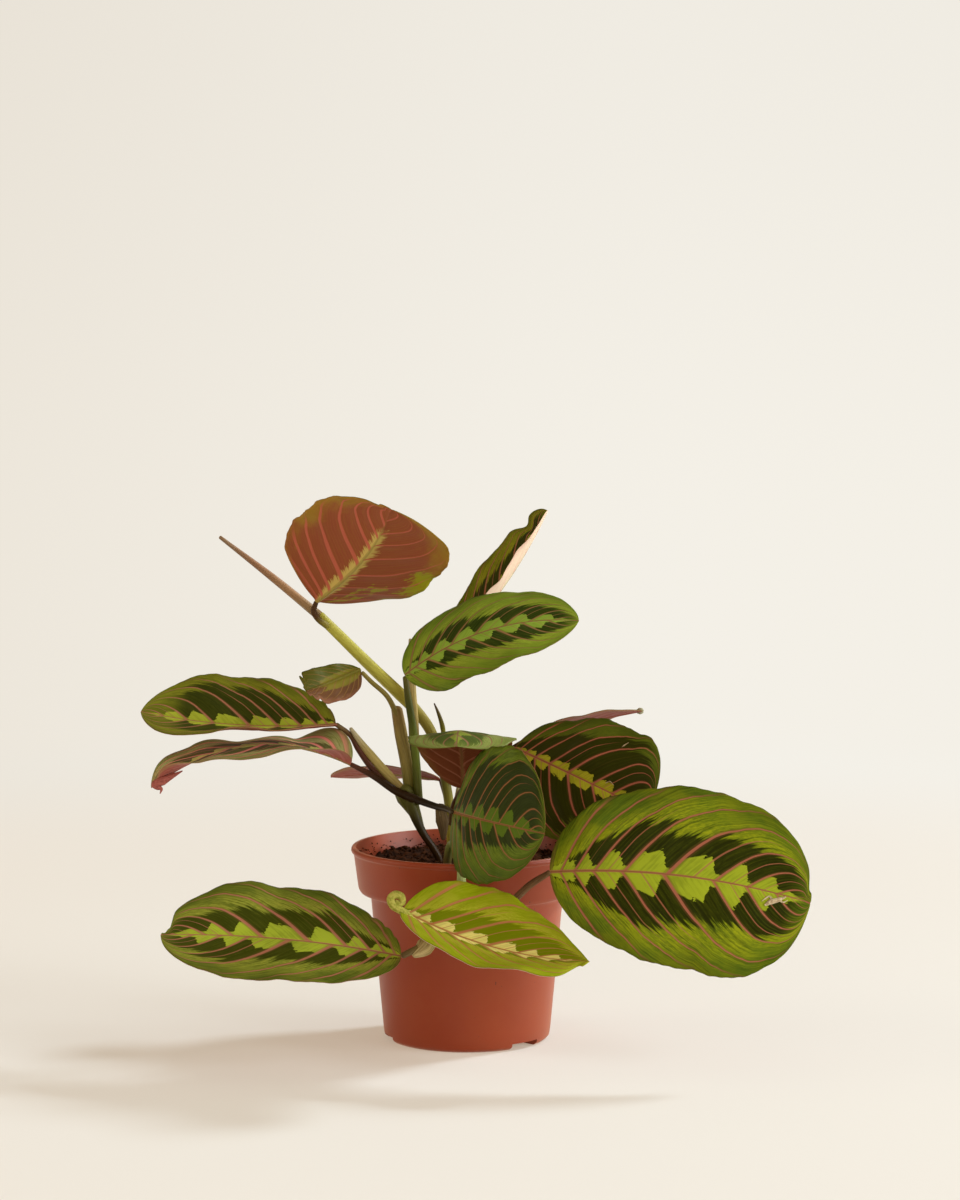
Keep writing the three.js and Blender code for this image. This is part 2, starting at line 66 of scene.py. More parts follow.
class Signal:
    """A number that changes over a surface, as a shader socket that takes part in arithmetic."""

    def __init__(self, tree: "Tree", socket: bpy.types.NodeSocket) -> None:
        """Wraps a socket of a tree."""
        self.tree = tree
        self.socket = socket

    def math(self, operation: str, *others: Field) -> "Signal":
        """Returns the result of a math node whose first input is this signal."""
        return self.tree.math(operation, self, *others)

    def __add__(self, other: Field) -> "Signal":
        """Sum."""
        return self.math("ADD", other)

    def __sub__(self, other: Field) -> "Signal":
        """Difference."""
        return self.math("SUBTRACT", other)

    def __rsub__(self, other: Field) -> "Signal":
        """Difference from a number."""
        return self.tree.math("SUBTRACT", other, self)

    def __mul__(self, other: Field) -> "Signal":
        """Product."""
        return self.math("MULTIPLY", other)

    def __pow__(self, other: Field) -> "Signal":
        """Power."""
        return self.math("POWER", other)

    __radd__ = __add__
    __rmul__ = __mul__

    def step(self, low: Field, high: Field) -> "Signal":
        """Steps smoothly with this signal.

        Args:
            low: the value at which the step starts.
            high: the value at which it ends, which may be the lower of the two.

        Returns:
            A signal that is 0 at low and before it, and 1 at high and beyond.
        """
        inputs = {"Value": self, "From Min": low, "From Max": high}
        node = self.tree.node("ShaderNodeMapRange", inputs, interpolation_type="SMOOTHSTEP")
        return Signal(self.tree, node.outputs["Result"])


class Tree:
    """Adds nodes to one shader node tree and links them."""

    def __init__(self, tree: bpy.types.NodeTree) -> None:
        """Wraps a node tree."""
        self.tree = tree

    def put(self, socket: bpy.types.NodeSocket, value: object) -> None:
        """Links a signal or socket to an input, or sets the input's own value.

        Args:
            socket: the input.
            value: a signal, a socket, a number, or a colour of three numbers.
        """
        if isinstance(value, Signal):
            value = value.socket
        if isinstance(value, bpy.types.NodeSocket):
            self.tree.links.new(value, socket)
        elif isinstance(value, tuple) and len(value) == 3 and socket.type == "RGBA":
            socket.default_value = (*value, 1.0)
        else:
            socket.default_value = value

    def node(
        self, kind: str, inputs: dict[object, object] | None = None, **settings: object
    ) -> bpy.types.Node:
        """Adds a node.

        Args:
            kind: the node's type name.
            inputs: values or sockets by input name or number.
            settings: the node's own properties.

        Returns:
            The new node.
        """
        node = self.tree.nodes.new(kind)
        for key, value in settings.items():
            setattr(node, key, value)
        for name, value in (inputs or {}).items():
            self.put(node.inputs[name], value)
        return node

    def math(self, operation: str, *values: Field) -> Signal:
        """Adds a math node and returns its result."""
        node = self.node("ShaderNodeMath", dict(enumerate(values)), operation=operation)
        return Signal(self, node.outputs[0])

    def vector(self, x: Field, y: Field, z: Field) -> bpy.types.NodeSocket:
        """Joins three numbers into a vector."""
        return self.node("ShaderNodeCombineXYZ", {"X": x, "Y": y, "Z": z}).outputs[0]

    def noise(
        self, where: bpy.types.NodeSocket, scale: float, detail: float = 2.0, rough: float = 0.5
    ) -> Signal:
        """Adds a noise texture and returns its value, about 0.5 on average."""
        inputs = {"Vector": where, "Scale": scale, "Detail": detail, "Roughness": rough}
        return Signal(self, self.node("ShaderNodeTexNoise", inputs).outputs["Fac"])

    def mix(
        self, factor: Field, first: object, second: object, how: str = "MIX"
    ) -> bpy.types.NodeSocket:
        """Mixes two colours.

        Args:
            factor: 0 for the first and 1 for the second.
            first: a colour or its socket.
            second: a colour or its socket.
            how: the mix node's way of blending.

        Returns:
            The mixed colour's socket.
        """
        node = self.node("ShaderNodeMix", data_type="RGBA", blend_type=how)
        for name, value in (("Factor_Float", factor), ("A_Color", first), ("B_Color", second)):
            self.put(next(s for s in node.inputs if s.identifier == name), value)
        return next(s for s in node.outputs if s.identifier == "Result_Color")

    def blend(self, factor: Field, first: Field, second: Field) -> Signal:
        """Mixes two numbers by a factor, 0 for the first and 1 for the second."""
        node = self.node("ShaderNodeMix", {0: factor, 2: first, 3: second}, data_type="FLOAT")
        return Signal(self, node.outputs[0])

    def attribute(self, name: str) -> bpy.types.Node:
        """Reads a named attribute of the mesh."""
        return self.node("ShaderNodeAttribute", attribute_name=name)

    def place_on_object(self) -> bpy.types.NodeSocket:
        """Returns the socket of where a point lies on its object, in metres."""
        return self.node("ShaderNodeTexCoord").outputs["Object"]

    def parts(self, vector: bpy.types.NodeSocket) -> tuple[Signal, Signal, Signal]:
        """Splits a vector into its three numbers."""
        node = self.node("ShaderNodeSeparateXYZ", {0: vector})
        return tuple(Signal(self, node.outputs[i]) for i in range(3))


class Group(Tree):
    """A shader node group, built once and placed in each material with its own values."""

    KINDS = {float: "NodeSocketFloat", tuple: "NodeSocketColor"}

    def __init__(self, name: str, inputs: dict[str, object], outputs: dict[str, type]) -> None:
        """Makes the group with its sockets.

        Args:
            name: the group's name.
            inputs: default by input name, a number or a colour.
            outputs: float or tuple (for a colour) by output name.
        """
        super().__init__(bpy.data.node_groups.new(name, "ShaderNodeTree"))
        sockets = self.tree.interface
        for key, value in inputs.items():
            socket = sockets.new_socket(key, in_out="INPUT", socket_type=self.KINDS[type(value)])
            socket.default_value = (*value, 1.0) if isinstance(value, tuple) else value
        for key, kind in outputs.items():
            sockets.new_socket(key, in_out="OUTPUT", socket_type=self.KINDS[kind])
        self.entry = self.tree.nodes.new("NodeGroupInput")
        self.exit = self.tree.nodes.new("NodeGroupOutput")

    def given(self, name: str) -> Signal:
        """Returns an input of the group from the inside."""
        return Signal(self, self.entry.outputs[name])

    def all_given(self, *names: str) -> tuple[Signal, ...]:
        """Returns several inputs of the group from the inside."""
        return tuple(self.given(name) for name in names)

    def hand(self, **values: object) -> None:
        """Hands values out through the group's outputs of the same names."""
        for name, value in values.items():
            self.put(self.exit.inputs[name], value)

    def place(self, tree: Tree, **inputs: object) -> dict[str, bpy.types.NodeSocket]:
        """Places the group in a material.

        Args:
            tree: the material's tree.
            inputs: values by input name, with _ for a blank.

        Returns:
            The group's output sockets by name.
        """
        node = tree.node("ShaderNodeGroup", node_tree=self.tree)
        for key, value in inputs.items():
            tree.put(node.inputs[key.replace("_", " ")], value)
        return {socket.name: socket for socket in node.outputs}


@dataclass(frozen=True)
class VeinLayout:
    """How a blade's veins and the zones between them lie.

    The phases shift the veins of a half along the midrib, count and crowd say how many there are and
    how close they start, and lean and sweep how they bend on their way to the margin. The reaches of
    the pale lobes and of the dark patches are shares of the half's width, and dark_end is the share
    of the length where the patches end. A right width or reach of 0 stands for the left one's.
    """

    left_phase: float = 0.0
    right_phase: float = 0.0
    lobe_reach: float = 0.25
    dark_reach: float = 0.55
    width: float = 0.07
    lean: float = 0.36
    sweep: float = 0.42
    count: float = 5.7
    crowd: float = 2.4
    right_width: float = 0.0
    dark_end: float = 1.0
    right_dark_reach: float = 0.0

    CROWDING = 11.0
    TIP_START = 0.6
    TIP_CROWD = 2.2
    JITTER = 0.1
    JITTER_RATE = 9.0
    ROOT_SPREAD = 0.12

    def inputs(self) -> dict[str, float]:
        """Returns the numbers that the vein group takes, by name."""
        reach = self.right_dark_reach or self.dark_reach
        return {**asdict(self), "right_width": self.right_width or self.width, "right_dark_reach": reach}

    def number(self, t: np.ndarray, v: np.ndarray, seed: float) -> np.ndarray:
        """Numbers the veins over the blade, as the vein group does.

        Args:
            t: shares of the length, base 0 to tip 1.
            v: shares of the width, right margin -1 to left margin 1.
            seed: the blade's own number.

        Returns:
            The number at each place; a whole number is a vein.
        """
        away = np.abs(v)
        half = self.ROOT_SPREAD + self.lean * away + self.sweep * away**4 - t
        root = (np.sqrt(half**2 + 4 * self.ROOT_SPREAD * t) - half) / 2
        crowded = self.crowd * (1 - np.exp(-self.CROWDING * root))
        crowded = crowded + self.TIP_CROWD * np.maximum(root - self.TIP_START, 0)
        phase = np.where(v > 0, self.left_phase, self.right_phase)
        return root * self.count + crowded + self.JITTER * np.sin(self.JITTER_RATE * root + seed) + phase


class VeinZones:
    """The shader group that lays out a blade's veins and the zones between them."""

    # Of these, streak is partly the blade's lighter green and partly painted highlights, and beside is
    # painted shade along the veins.
    OUTPUTS = ("vein", "fine", "second", "beside", "lobe", "dark", "streak", "grain")
    TEETH = 2.6
    FINE_LINES = 7.0
    SIDE_SEED = 7.0

    def __init__(self) -> None:
        """Makes the empty group and takes its inputs."""
        numbers = {key.replace("_", " "): value for key, value in VeinLayout().inputs().items()}
        inputs = {"along": 0.0, "across": 0.0, "seed": 0.0, **numbers}
        self.group = Group("leaf veins", inputs, dict.fromkeys(self.OUTPUTS, float))
        self.along, self.across, self.seed = self.group.all_given("along", "across", "seed")
        self.away = self.across.math("ABSOLUTE")
        self.left = self.across.math("GREATER_THAN", 0.0)
        self.side_seed = self.seed + self.left * self.SIDE_SEED

    def of_side(self, right: str, left: str) -> Signal:
        """Returns the input of the half that a point is on."""
        return self.group.blend(self.left, self.group.given(right), self.group.given(left))

    def number(self, origin: Signal) -> Signal:
        """Numbers the veins along the midrib.

        Args:
            origin: where a vein starts, as a share of the length.

        Returns:
            The vein's number; a whole number is a vein.
        """
        count, crowd = self.group.all_given("count", "crowd")
        crowded = crowd * (1.0 - (origin * -VeinLayout.CROWDING).math("EXPONENT"))
        bend = (origin * VeinLayout.JITTER_RATE + self.seed).math("SINE") * VeinLayout.JITTER
        end = (origin - VeinLayout.TIP_START).math("MAXIMUM", 0.0) * VeinLayout.TIP_CROWD
        return origin * count + crowded + end + bend + self.of_side("right phase", "left phase")

    def root(self) -> Signal:
        """Follows the vein through a point back to the midrib.

        Returns:
            Where it starts, as a share of the length.
        """
        spread = VeinLayout.ROOT_SPREAD
        lean, sweep = self.group.all_given("lean", "sweep")
        half = self.away * lean + (self.away ** 4.0) * sweep + spread - self.along
        return ((half * half + self.along * (4.0 * spread)).math("SQRT") - half) * 0.5

    def lobe(self, number: Signal) -> Signal:
        """Builds the pale, toothed lobes along the midrib.

        Args:
            number: the vein number of each point.

        Returns:
            1 in a lobe and 0 outside.
        """
        group, along, away = self.group, self.along, self.away
        reach = group.given("lobe reach")
        where = group.vector(along * 1.6, self.across, self.side_seed)
        jag = group.noise(where, 24.0, 3.0, 0.65) - 0.5
        rooted = self.number(along + away * 0.09 + jag * 0.035)
        same = (rooted.math("FLOOR") - number.math("FLOOR")).math("ABSOLUTE").math("LESS_THAN", 0.5)
        same = same.math("MAXIMUM", (along + jag * 0.05).step(0.1, 0.09))
        teeth = (rooted * self.TEETH + jag).math("FRACT") * 0.16
        edge = reach * (0.66 + rooted.math("FRACT") * 0.3 + teeth) * along.step(1.0, 0.8)
        ragged = away + jag * 0.1
        lobe = ragged.step(edge + 0.008, edge - 0.008) * same
        core = (ragged - reach * 0.28).step(0.01, -0.01) * along.step(1.0, 0.9)
        return lobe.math("MAXIMUM", core)

    def build(self) -> Group:
        """Builds the zones and hands them out.

        Returns:
            The finished group.
        """
        group, away, along = self.group, self.away, self.along
        root = self.root()
        number = self.number(root)
        line = 0.5 - (number.math("FRACT") - 0.5).math("ABSOLUTE")
        crowding = (1.0 + (root * -VeinLayout.CROWDING).math("EXPONENT") * 3.0) ** 0.6
        width = self.of_side("right width", "width") * (1.1 - away * 0.5) * crowding
        vein = line.step(width, width * 0.5) * away.step(1.0, 0.84) * root.step(0.0, 0.03)

        streaks = group.noise(group.vector(number, away * 0.4, self.side_seed), 6.0, 3.0, 0.6) - 0.5
        grain = group.noise(group.vector(number * 1.5, away * 0.35, self.side_seed), 8.0, 3.0, 0.65)
        stitch = group.noise(group.vector(number * 7.0, away * 14.0, self.side_seed), 2.4, 2.0, 0.6)
        cell = {"W": number.math("FLOOR") * 1.7 + self.side_seed}
        chance = group.node("ShaderNodeTexWhiteNoise", cell, noise_dimensions="1D")
        varied = Signal(group, chance.outputs["Value"])

        reach = self.of_side("right dark reach", "dark reach")
        far = reach * (0.84 + varied * 0.32) * (0.5 + root.step(0.02, 0.16) * 0.5)
        fuzzy = away + streaks * 0.4 + (grain - 0.5) * 0.24
        end = group.given("dark end")
        # The streak band past the dark patches is partly the blade's lighter green and partly painted
        # highlights: stitched glints on the swells between the veins.
        shine = fuzzy.step(far - 0.04, far + 0.05) * fuzzy.step(far + 0.42, far + 0.1)
        between_veins = (0.5 - line).step(0.03, 0.012) * away.step(0.8, 0.5)
        thin = 0.5 - ((number * self.FINE_LINES + 0.5).math("FRACT") - 0.5).math("ABSOLUTE")
        group.hand(
            vein=vein,
            fine=thin.step(0.2, 0.05) * stitch.step(0.3, 0.6),
            second=between_veins * varied.step(0.25, 0.35) * root.step(0.1, 0.18),
            # beside marks a painted shade next to each vein, where the blade dips into it.
            beside=line.step(width + 0.07, width),
            lobe=self.lobe(number),
            dark=fuzzy.step(far + 0.035, far - 0.035) * along.step(end + 0.02, end - 0.1),
            streak=shine * (0.35 + grain.step(0.4, 0.56) * 0.65) * (0.4 + stitch.step(0.42, 0.6) * 0.6),
            grain=grain,
        )
        return group


def upper_group() -> Group:
    """Builds the group that colours the upper side of a blade from its zones.

    Returns:
        The finished group.
    """
    zones = dict.fromkeys(("along", "across", "span", *VeinZones.OUTPUTS), 0.0)
    inks = {key + " colour": (0.1, 0.15, 0.02) for key in ("margin", "streak", "dark", "lobe", "vein")}
    outputs = {"colour": tuple, "roughness": float, "height": float}
    group = Group("leaf upper side", {**zones, **inks}, outputs)
    along, across, span, grain = group.all_given("along", "across", "span", "grain")
    vein, fine, lobe, dark = group.all_given("vein", "fine", "lobe", "dark")
    away = across.math("ABSOLUTE")
    soft = group.noise(group.vector(along, across * 0.5, span), 5.0, 3.0, 0.6)
    margin, streak, darkest, pale, veined = group.all_given(*inks)
    colour = group.mix(soft.step(0.4, 0.66) * 0.4, margin, streak)
    colour = group.mix(grain.step(0.5, 0.66) * 0.25, colour, streak)
    colour = group.mix(grain.step(0.48, 0.34) * 0.5, colour, darkest)
    colour = group.mix((away + (soft - 0.5) * 0.5).step(0.7, 1.05) * 0.3, colour, darkest)
    # The streak band: the blade's lighter green with painted highlights on it.
    colour = group.mix(group.given("streak") * 0.9, colour, streak)
    colour = group.mix(dark * (0.9 + grain.step(0.6, 0.4) * 0.1), colour, darkest)
    colour = group.mix(fine * (0.15 - dark * 0.1), colour, streak)
    lit = group.mix((grain + (soft - 0.5) * 0.8).step(0.3, 0.62), group.mix(0.38, pale, margin), pale)
    colour = group.mix(lobe, colour, lit)
    colour = group.mix(group.given("second") * 0.7, colour, veined)
    # Painted shade along the veins: the blade is darkened beside each one.
    colour = group.mix(group.given("beside") * 0.42, colour, group.mix(0.3, darkest, veined))
    colour = group.mix(vein * 0.92, colour, veined)
    rib_width = 0.0105 - along * 0.0065
    rib = span.step(rib_width, rib_width * 0.55)
    colour = group.mix(rib * 0.85, colour, veined)
    # Painted shade in the midrib's groove: the groove is coloured darker.
    groove = span.step(rib_width * 0.35, 0.0) * rib
    colour = group.mix(groove * 0.5, colour, darkest)
    colour = group.mix(away.step(0.985, 1.0) * 0.45, colour, MARGIN_BROWN)
    group.hand(
        colour=colour,
        roughness=0.4 + vein * 0.08 + (soft - 0.5) * 0.12 + dark * 0.02,
        height=grain * 0.4 - vein * 0.6 - fine * 0.15 - rib * 0.5,
    )
    return group


def under_group() -> Group:
    """Builds the group that colours the underside of a blade from its zones.

    Returns:
        The finished group.
    """
    zones = dict.fromkeys(("along", "across", "span", "vein", "fine", "grain", "seed"), 0.0)
    parts = ("base", "vein", "margin", "band", "blotch", "left")
    inks = {part + " colour": (0.2, 0.05, 0.02) for part in parts}
    shares = {"band reach": 0.12, "blotch": 0.2, "left share": 0.0}
    outputs = {"colour": tuple, "roughness": float, "height": float}
    group = Group("leaf underside", {**zones, **inks, **shares}, outputs)
    along, across, span, grain = group.all_given("along", "across", "span", "grain")
    vein, fine = group.all_given("vein", "fine")
    base, veined, margin, pale = group.all_given("base colour", "vein colour", "margin colour", "band colour")
    away = across.math("ABSOLUTE")
    soft = group.noise(group.vector(along, across * 0.6, group.given("seed")), 4.5, 4.0, 0.62)
    colour = group.mix(grain.step(0.3, 0.8) * 0.2, base, margin)
    toward = away + along * 0.3 + (soft - 0.5) * 0.8
    colour = group.mix(toward.step(0.8, 1.2) * 0.85, colour, margin)
    place = across.step(-0.3, 0.1) * along.step(0.7, 0.55)
    patches = (soft + (grain - 0.5) * 0.4 + away * 0.08).step(0.6, 0.65) * place * group.given("blotch")
    colour = group.mix(patches, colour, group.given("blotch colour"))
    leftward = (across + (soft - 0.5) * 0.5).step(0.0, 0.12) * group.given("left share")
    colour = group.mix(leftward, colour, group.given("left colour"))
    reach = group.given("band reach") * (1.1 - along * 0.6)
    fingers = (away + (grain - 0.5) * 0.34 + (soft - 0.5) * 0.16).step(reach + 0.025, reach - 0.025)
    band = fingers * (along + (soft - 0.5) * 0.8).step(0.72, 0.6) * (1.0 - vein * 0.6)
    colour = group.mix(band * 0.9, colour, pale)
    colour = group.mix(fine * 0.12, colour, veined)
    colour = group.mix(vein * 0.85, colour, veined)
    rib_width = 0.011 - along * 0.0075
    rib = span.step(rib_width, rib_width * 0.6) * along.step(0.95, 0.6)
    colour = group.mix(rib * 0.75, colour, group.mix(0.45, pale, RIB_BROWN))
    group.hand(
        colour=colour, roughness=0.5 + (soft - 0.5) * 0.14, height=vein * 0.7 + grain * 0.08 + rib * 0.4
    )
    return group


def fibre_group() -> Group:
    """Builds the group of fine lines that run along stalks, sheaths and rolled leaves.

    Returns:
        The finished group.
    """
    inputs = dict.fromkeys(("round x", "round y", "along", "dryness"), 0.0)
    group = Group("fibres", inputs, dict.fromkeys(("lines", "speckle", "height"), float))
    x, y, along, dryness = group.all_given(*inputs)
    lines = group.noise(group.vector(x * 5.0, y * 5.0, along * 0.9), 1.0, 3.0, 0.7)
    speckle = group.noise(group.vector(x * 1.6, y * 1.6, along * 1.5), 1.2, 3.0, 0.6)
    group.hand(lines=lines, speckle=speckle, height=lines * (0.3 + dryness) + speckle * 0.1)
    return group


def grit_group() -> Group:
    """Builds the group of dust, smears and specks that potting leaves on a surface.

    Returns:
        The finished group.
    """
    group = Group("grit", {}, dict.fromkeys(("speck", "smear", "cloud"), float))
    where = group.place_on_object()
    cloud = group.noise(where, 28.0, 4.0, 0.6)
    fleck = group.noise(where, 420.0, 2.0, 0.5)
    sparse = group.noise(where, 60.0, 2.0, 0.5)
    speck = fleck.step(0.715, 0.74) * sparse.step(0.5, 0.62)
    stretched = group.node("ShaderNodeMapping", {"Vector": where, "Scale": (1.0, 1.0, 0.12)}).outputs[0]
    smear = group.noise(stretched, 130.0, 3.0, 0.6).step(0.55, 0.8)
    group.hand(speck=speck, smear=smear, cloud=cloud)
    return group


def new_material(name: str) -> tuple[bpy.types.Material, Tree, bpy.types.Node]:
    """Makes a material with one Principled shader.

    Args:
        name: the material's name.

    Returns:
        The material, its tree and its shader.
    """
    material = bpy.data.materials.new(name)
    material.use_nodes = True
    shader = material.node_tree.nodes["Principled BSDF"]
    return material, Tree(material.node_tree), shader


@dataclass(frozen=True)
class Relief:
    """How strongly a height shows as bumps, and over what distance in metres."""

    strength: float
    distance: float

    def put(self, tree: Tree, shader: bpy.types.Node, height: Field) -> None:
        """Bends the shader's normal by a height."""
        inputs = {"Strength": self.strength, "Distance": self.distance, "Height": height}
        tree.put(shader.inputs["Normal"], tree.node("ShaderNodeBump", inputs).outputs[0])


def set_shader(shader: bpy.types.Node, **values: object) -> None:
    """Sets a shader's own values, by input name with _ for a blank."""
    for key, value in values.items():
        shader.inputs[key.replace("_", " ")].default_value = value


# Finishes


@dataclass(frozen=True)
class UpperColours:
    """Colours of a blade's upper side."""

    margin: Colour
    # streak: the blade's lighter green, which also carries painted highlights.
    streak: Colour
    dark: Colour
    lobe: Colour
    vein: Colour

    def inputs(self) -> dict[str, Colour]:
        """Returns the colours by the names that the upper side's group takes."""
        return {key + "_colour": value for key, value in asdict(self).items()}


@dataclass(frozen=True)
class UnderColours:
    """Colours of a blade's underside, with how wide its pale band and how strong its blotches are.

    left is the colour that takes over on the left half by left_share.
    """

    base: Colour
    vein: Colour
    margin: Colour
    band: Colour
    band_reach: float = 0.08
    blotches: float = 0.0
    blotch: Colour = (0.3, 0.33, 0.01)
    left: Colour = (0.1, 0.1, 0.01)
    left_share: float = 0.0

    def inputs(self) -> dict[str, object]:
        """Names the colours and shares as the underside's group takes them.

        Returns:
            The value of each input.
        """
        parts = ("base", "vein", "margin", "band", "blotch", "left")
        inks = {part + "_colour": getattr(self, part) for part in parts}
        return {**inks, "band_reach": self.band_reach, "blotch": self.blotches, "left_share": self.left_share}


class Upper(Enum):
    """The upper sides seen on the plant."""

    GREEN = UpperColours(
        (0.08, 0.127, 0.006), (0.3, 0.33, 0.008), (0.018, 0.021, 0.0003), (0.34, 0.41, 0.02),
        (0.37, 0.12, 0.065),
    )
    LOW = UpperColours(
        (0.085, 0.117, 0.011), (0.3, 0.32, 0.035), (0.036, 0.044, 0.0015), (0.34, 0.42, 0.03),
        (0.38, 0.14, 0.08),
    )
    OLIVE = UpperColours(
        (0.1, 0.11, 0.006), (0.19, 0.19, 0.012), (0.026, 0.032, 0.001), (0.31, 0.35, 0.025),
        (0.33, 0.125, 0.065),
    )
    HALF_LIT = UpperColours(
        (0.105, 0.125, 0.003), (0.28, 0.27, 0.012), (0.024, 0.03, 0.0006), (0.3, 0.33, 0.02),
        (0.34, 0.125, 0.065),
    )
    WILTED = UpperColours(
        (0.2, 0.23, 0.05), (0.52, 0.48, 0.2), (0.1, 0.1, 0.03), (0.54, 0.56, 0.14), (0.82, 0.27, 0.21)
    )
    DEEP = UpperColours(
        (0.06, 0.088, 0.006), (0.105, 0.128, 0.008), (0.026, 0.028, 0.001), (0.42, 0.41, 0.022),
        (0.4, 0.12, 0.07),
    )
    DULL = UpperColours(
        (0.056, 0.094, 0.004), (0.135, 0.19, 0.012), (0.018, 0.027, 0.001), (0.082, 0.14, 0.006),
        (0.27, 0.105, 0.04),
    )
    PALE = UpperColours(
        (0.1378, 0.212, 0.0127), (0.2756, 0.3498, 0.0318), (0.0191, 0.0339, 0.0021),
        (0.2438, 0.3816, 0.0424), (0.2862, 0.1484, 0.0583),
    )
    FADED = UpperColours(
        (0.13, 0.17, 0.025), (0.25, 0.29, 0.08), (0.05, 0.08, 0.01), (0.21, 0.26, 0.03), (0.24, 0.12, 0.06)
    )
    YOUNG = UpperColours(
        (0.24, 0.3, 0.003), (0.42, 0.42, 0.03), (0.16, 0.2, 0.001), (0.8, 0.72, 0.22), (0.46, 0.17, 0.07)
    )


class Under(Enum):
    """The undersides seen on the plant."""

    RED = UnderColours(
        (0.25, 0.063, 0.027), (0.47, 0.11, 0.065), (0.3, 0.18, 0.02), (0.52, 0.4, 0.1), 0.085, 0.75
    )
    MAROON = UnderColours(
        (0.13, 0.034, 0.012), (0.24, 0.085, 0.045), (0.16, 0.07, 0.02), (0.2, 0.08, 0.03), 0.05
    )
    PINK = UnderColours((0.36, 0.1, 0.075), (0.45, 0.15, 0.12), (0.36, 0.2, 0.09), (0.4, 0.3, 0.12))
    ROSE = UnderColours((0.27, 0.075, 0.055), (0.34, 0.11, 0.08), (0.27, 0.15, 0.07), (0.4, 0.3, 0.16))
    CREAM = UnderColours((0.7, 0.56, 0.4), (0.68, 0.4, 0.32), (0.62, 0.4, 0.3), (0.75, 0.66, 0.44), 0.1)
    TORN = UnderColours(
        (0.09, 0.036, 0.01), (0.19, 0.1, 0.024), (0.21, 0.085, 0.045), (0.15, 0.13, 0.01), 0.42, 0.6,
        (0.09, 0.1, 0.006), (0.06, 0.075, 0.003), 0.85,
    )


@dataclass
class Groups:
    """The node groups that several materials share."""

    veins: Group
    upper: Group
    under: Group
    fibre: Group
    grit: Group

    @classmethod
    def build(cls) -> "Groups":
        """Builds every group once."""
        return cls(VeinZones().build(), upper_group(), under_group(), fibre_group(), grit_group())


@dataclass(frozen=True)
class LeafFinish:
    """The finish of one blade: its vein layout and the colours of its two sides."""

    veins: VeinLayout
    upper: Upper
    under: Under
    seed: float
    gloss: float = 0.05
    relief: Relief = Relief(0.35, 0.0004)

    def material(self, name: str, groups: Groups) -> bpy.types.Material:
        """Makes the blade's material, which reads how far along and across it a point lies.

        Args:
            name: the material's name.
            groups: the shared node groups.

        Returns:
            The material.
        """
        material, tree, shader = new_material(name)
        along, across, span = tree.parts(tree.attribute("blade").outputs["Vector"])
        zones = groups.veins.place(tree, along=along, across=across, seed=self.seed, **self.veins.inputs())
        place = {"along": along, "across": across, "span": span}
        upper = groups.upper.place(tree, **place, **zones, **self.upper.value.inputs())
        lines = {key: zones[key] for key in ("vein", "fine", "grain")}
        under = groups.under.place(tree, **place, **lines, seed=self.seed, **self.under.value.inputs())
        is_upper = Signal(tree, tree.attribute("upper").outputs["Fac"]).step(0.45, 0.55)
        tree.put(shader.inputs["Base Color"], tree.mix(is_upper, under["colour"], upper["colour"]))
        tree.put(shader.inputs["Roughness"], tree.blend(is_upper, under["roughness"], upper["roughness"]))
        self.relief.put(tree, shader, tree.blend(is_upper, under["height"], upper["height"]))
        set_shader(shader, Specular_IOR_Level=self.gloss)
        return material


@dataclass(frozen=True)
class StalkFinish:
    """The finish of stalks, sheaths and the rolled leaf, whose colours are in their meshes."""

    roughness: float = 0.42
    gloss: float = 0.12
    shade: Colour = (0.34, 0.27, 0.2)
    fleck: Colour = (0.42, 0.36, 0.2)
    relief: Relief = Relief(0.45, 0.0005)

    def material(self, name: str, groups: Groups) -> bpy.types.Material:
        """Makes the material, which reads the mesh's tint and its fibre directions.

        Args:
            name: the material's name.
            groups: the shared node groups.

        Returns:
            The material.
        """
        material, tree, shader = new_material(name)
        tint = tree.attribute("tint").outputs["Color"]
        x, y, along = tree.parts(tree.attribute("fibre").outputs["Vector"])
        dryness = Signal(tree, tree.attribute("dryness").outputs["Fac"])
        fibre = groups.fibre.place(tree, round_x=x, round_y=y, along=along, dryness=dryness)
        lines, speckle = Signal(tree, fibre["lines"]), Signal(tree, fibre["speckle"])
        colour = tree.mix(lines.step(0.62, 0.3) * (0.35 + dryness * 0.4), tint, self.shade, "MULTIPLY")
        colour = tree.mix(speckle.step(0.6, 0.75) * (0.05 + dryness * 0.36), colour, self.fleck)
        tree.put(shader.inputs["Base Color"], colour)
        tree.put(shader.inputs["Roughness"], self.roughness + dryness * 0.25 + (lines - 0.5) * 0.12)
        self.relief.put(tree, shader, fibre["height"])
        set_shader(shader, Specular_IOR_Level=self.gloss)
        return material


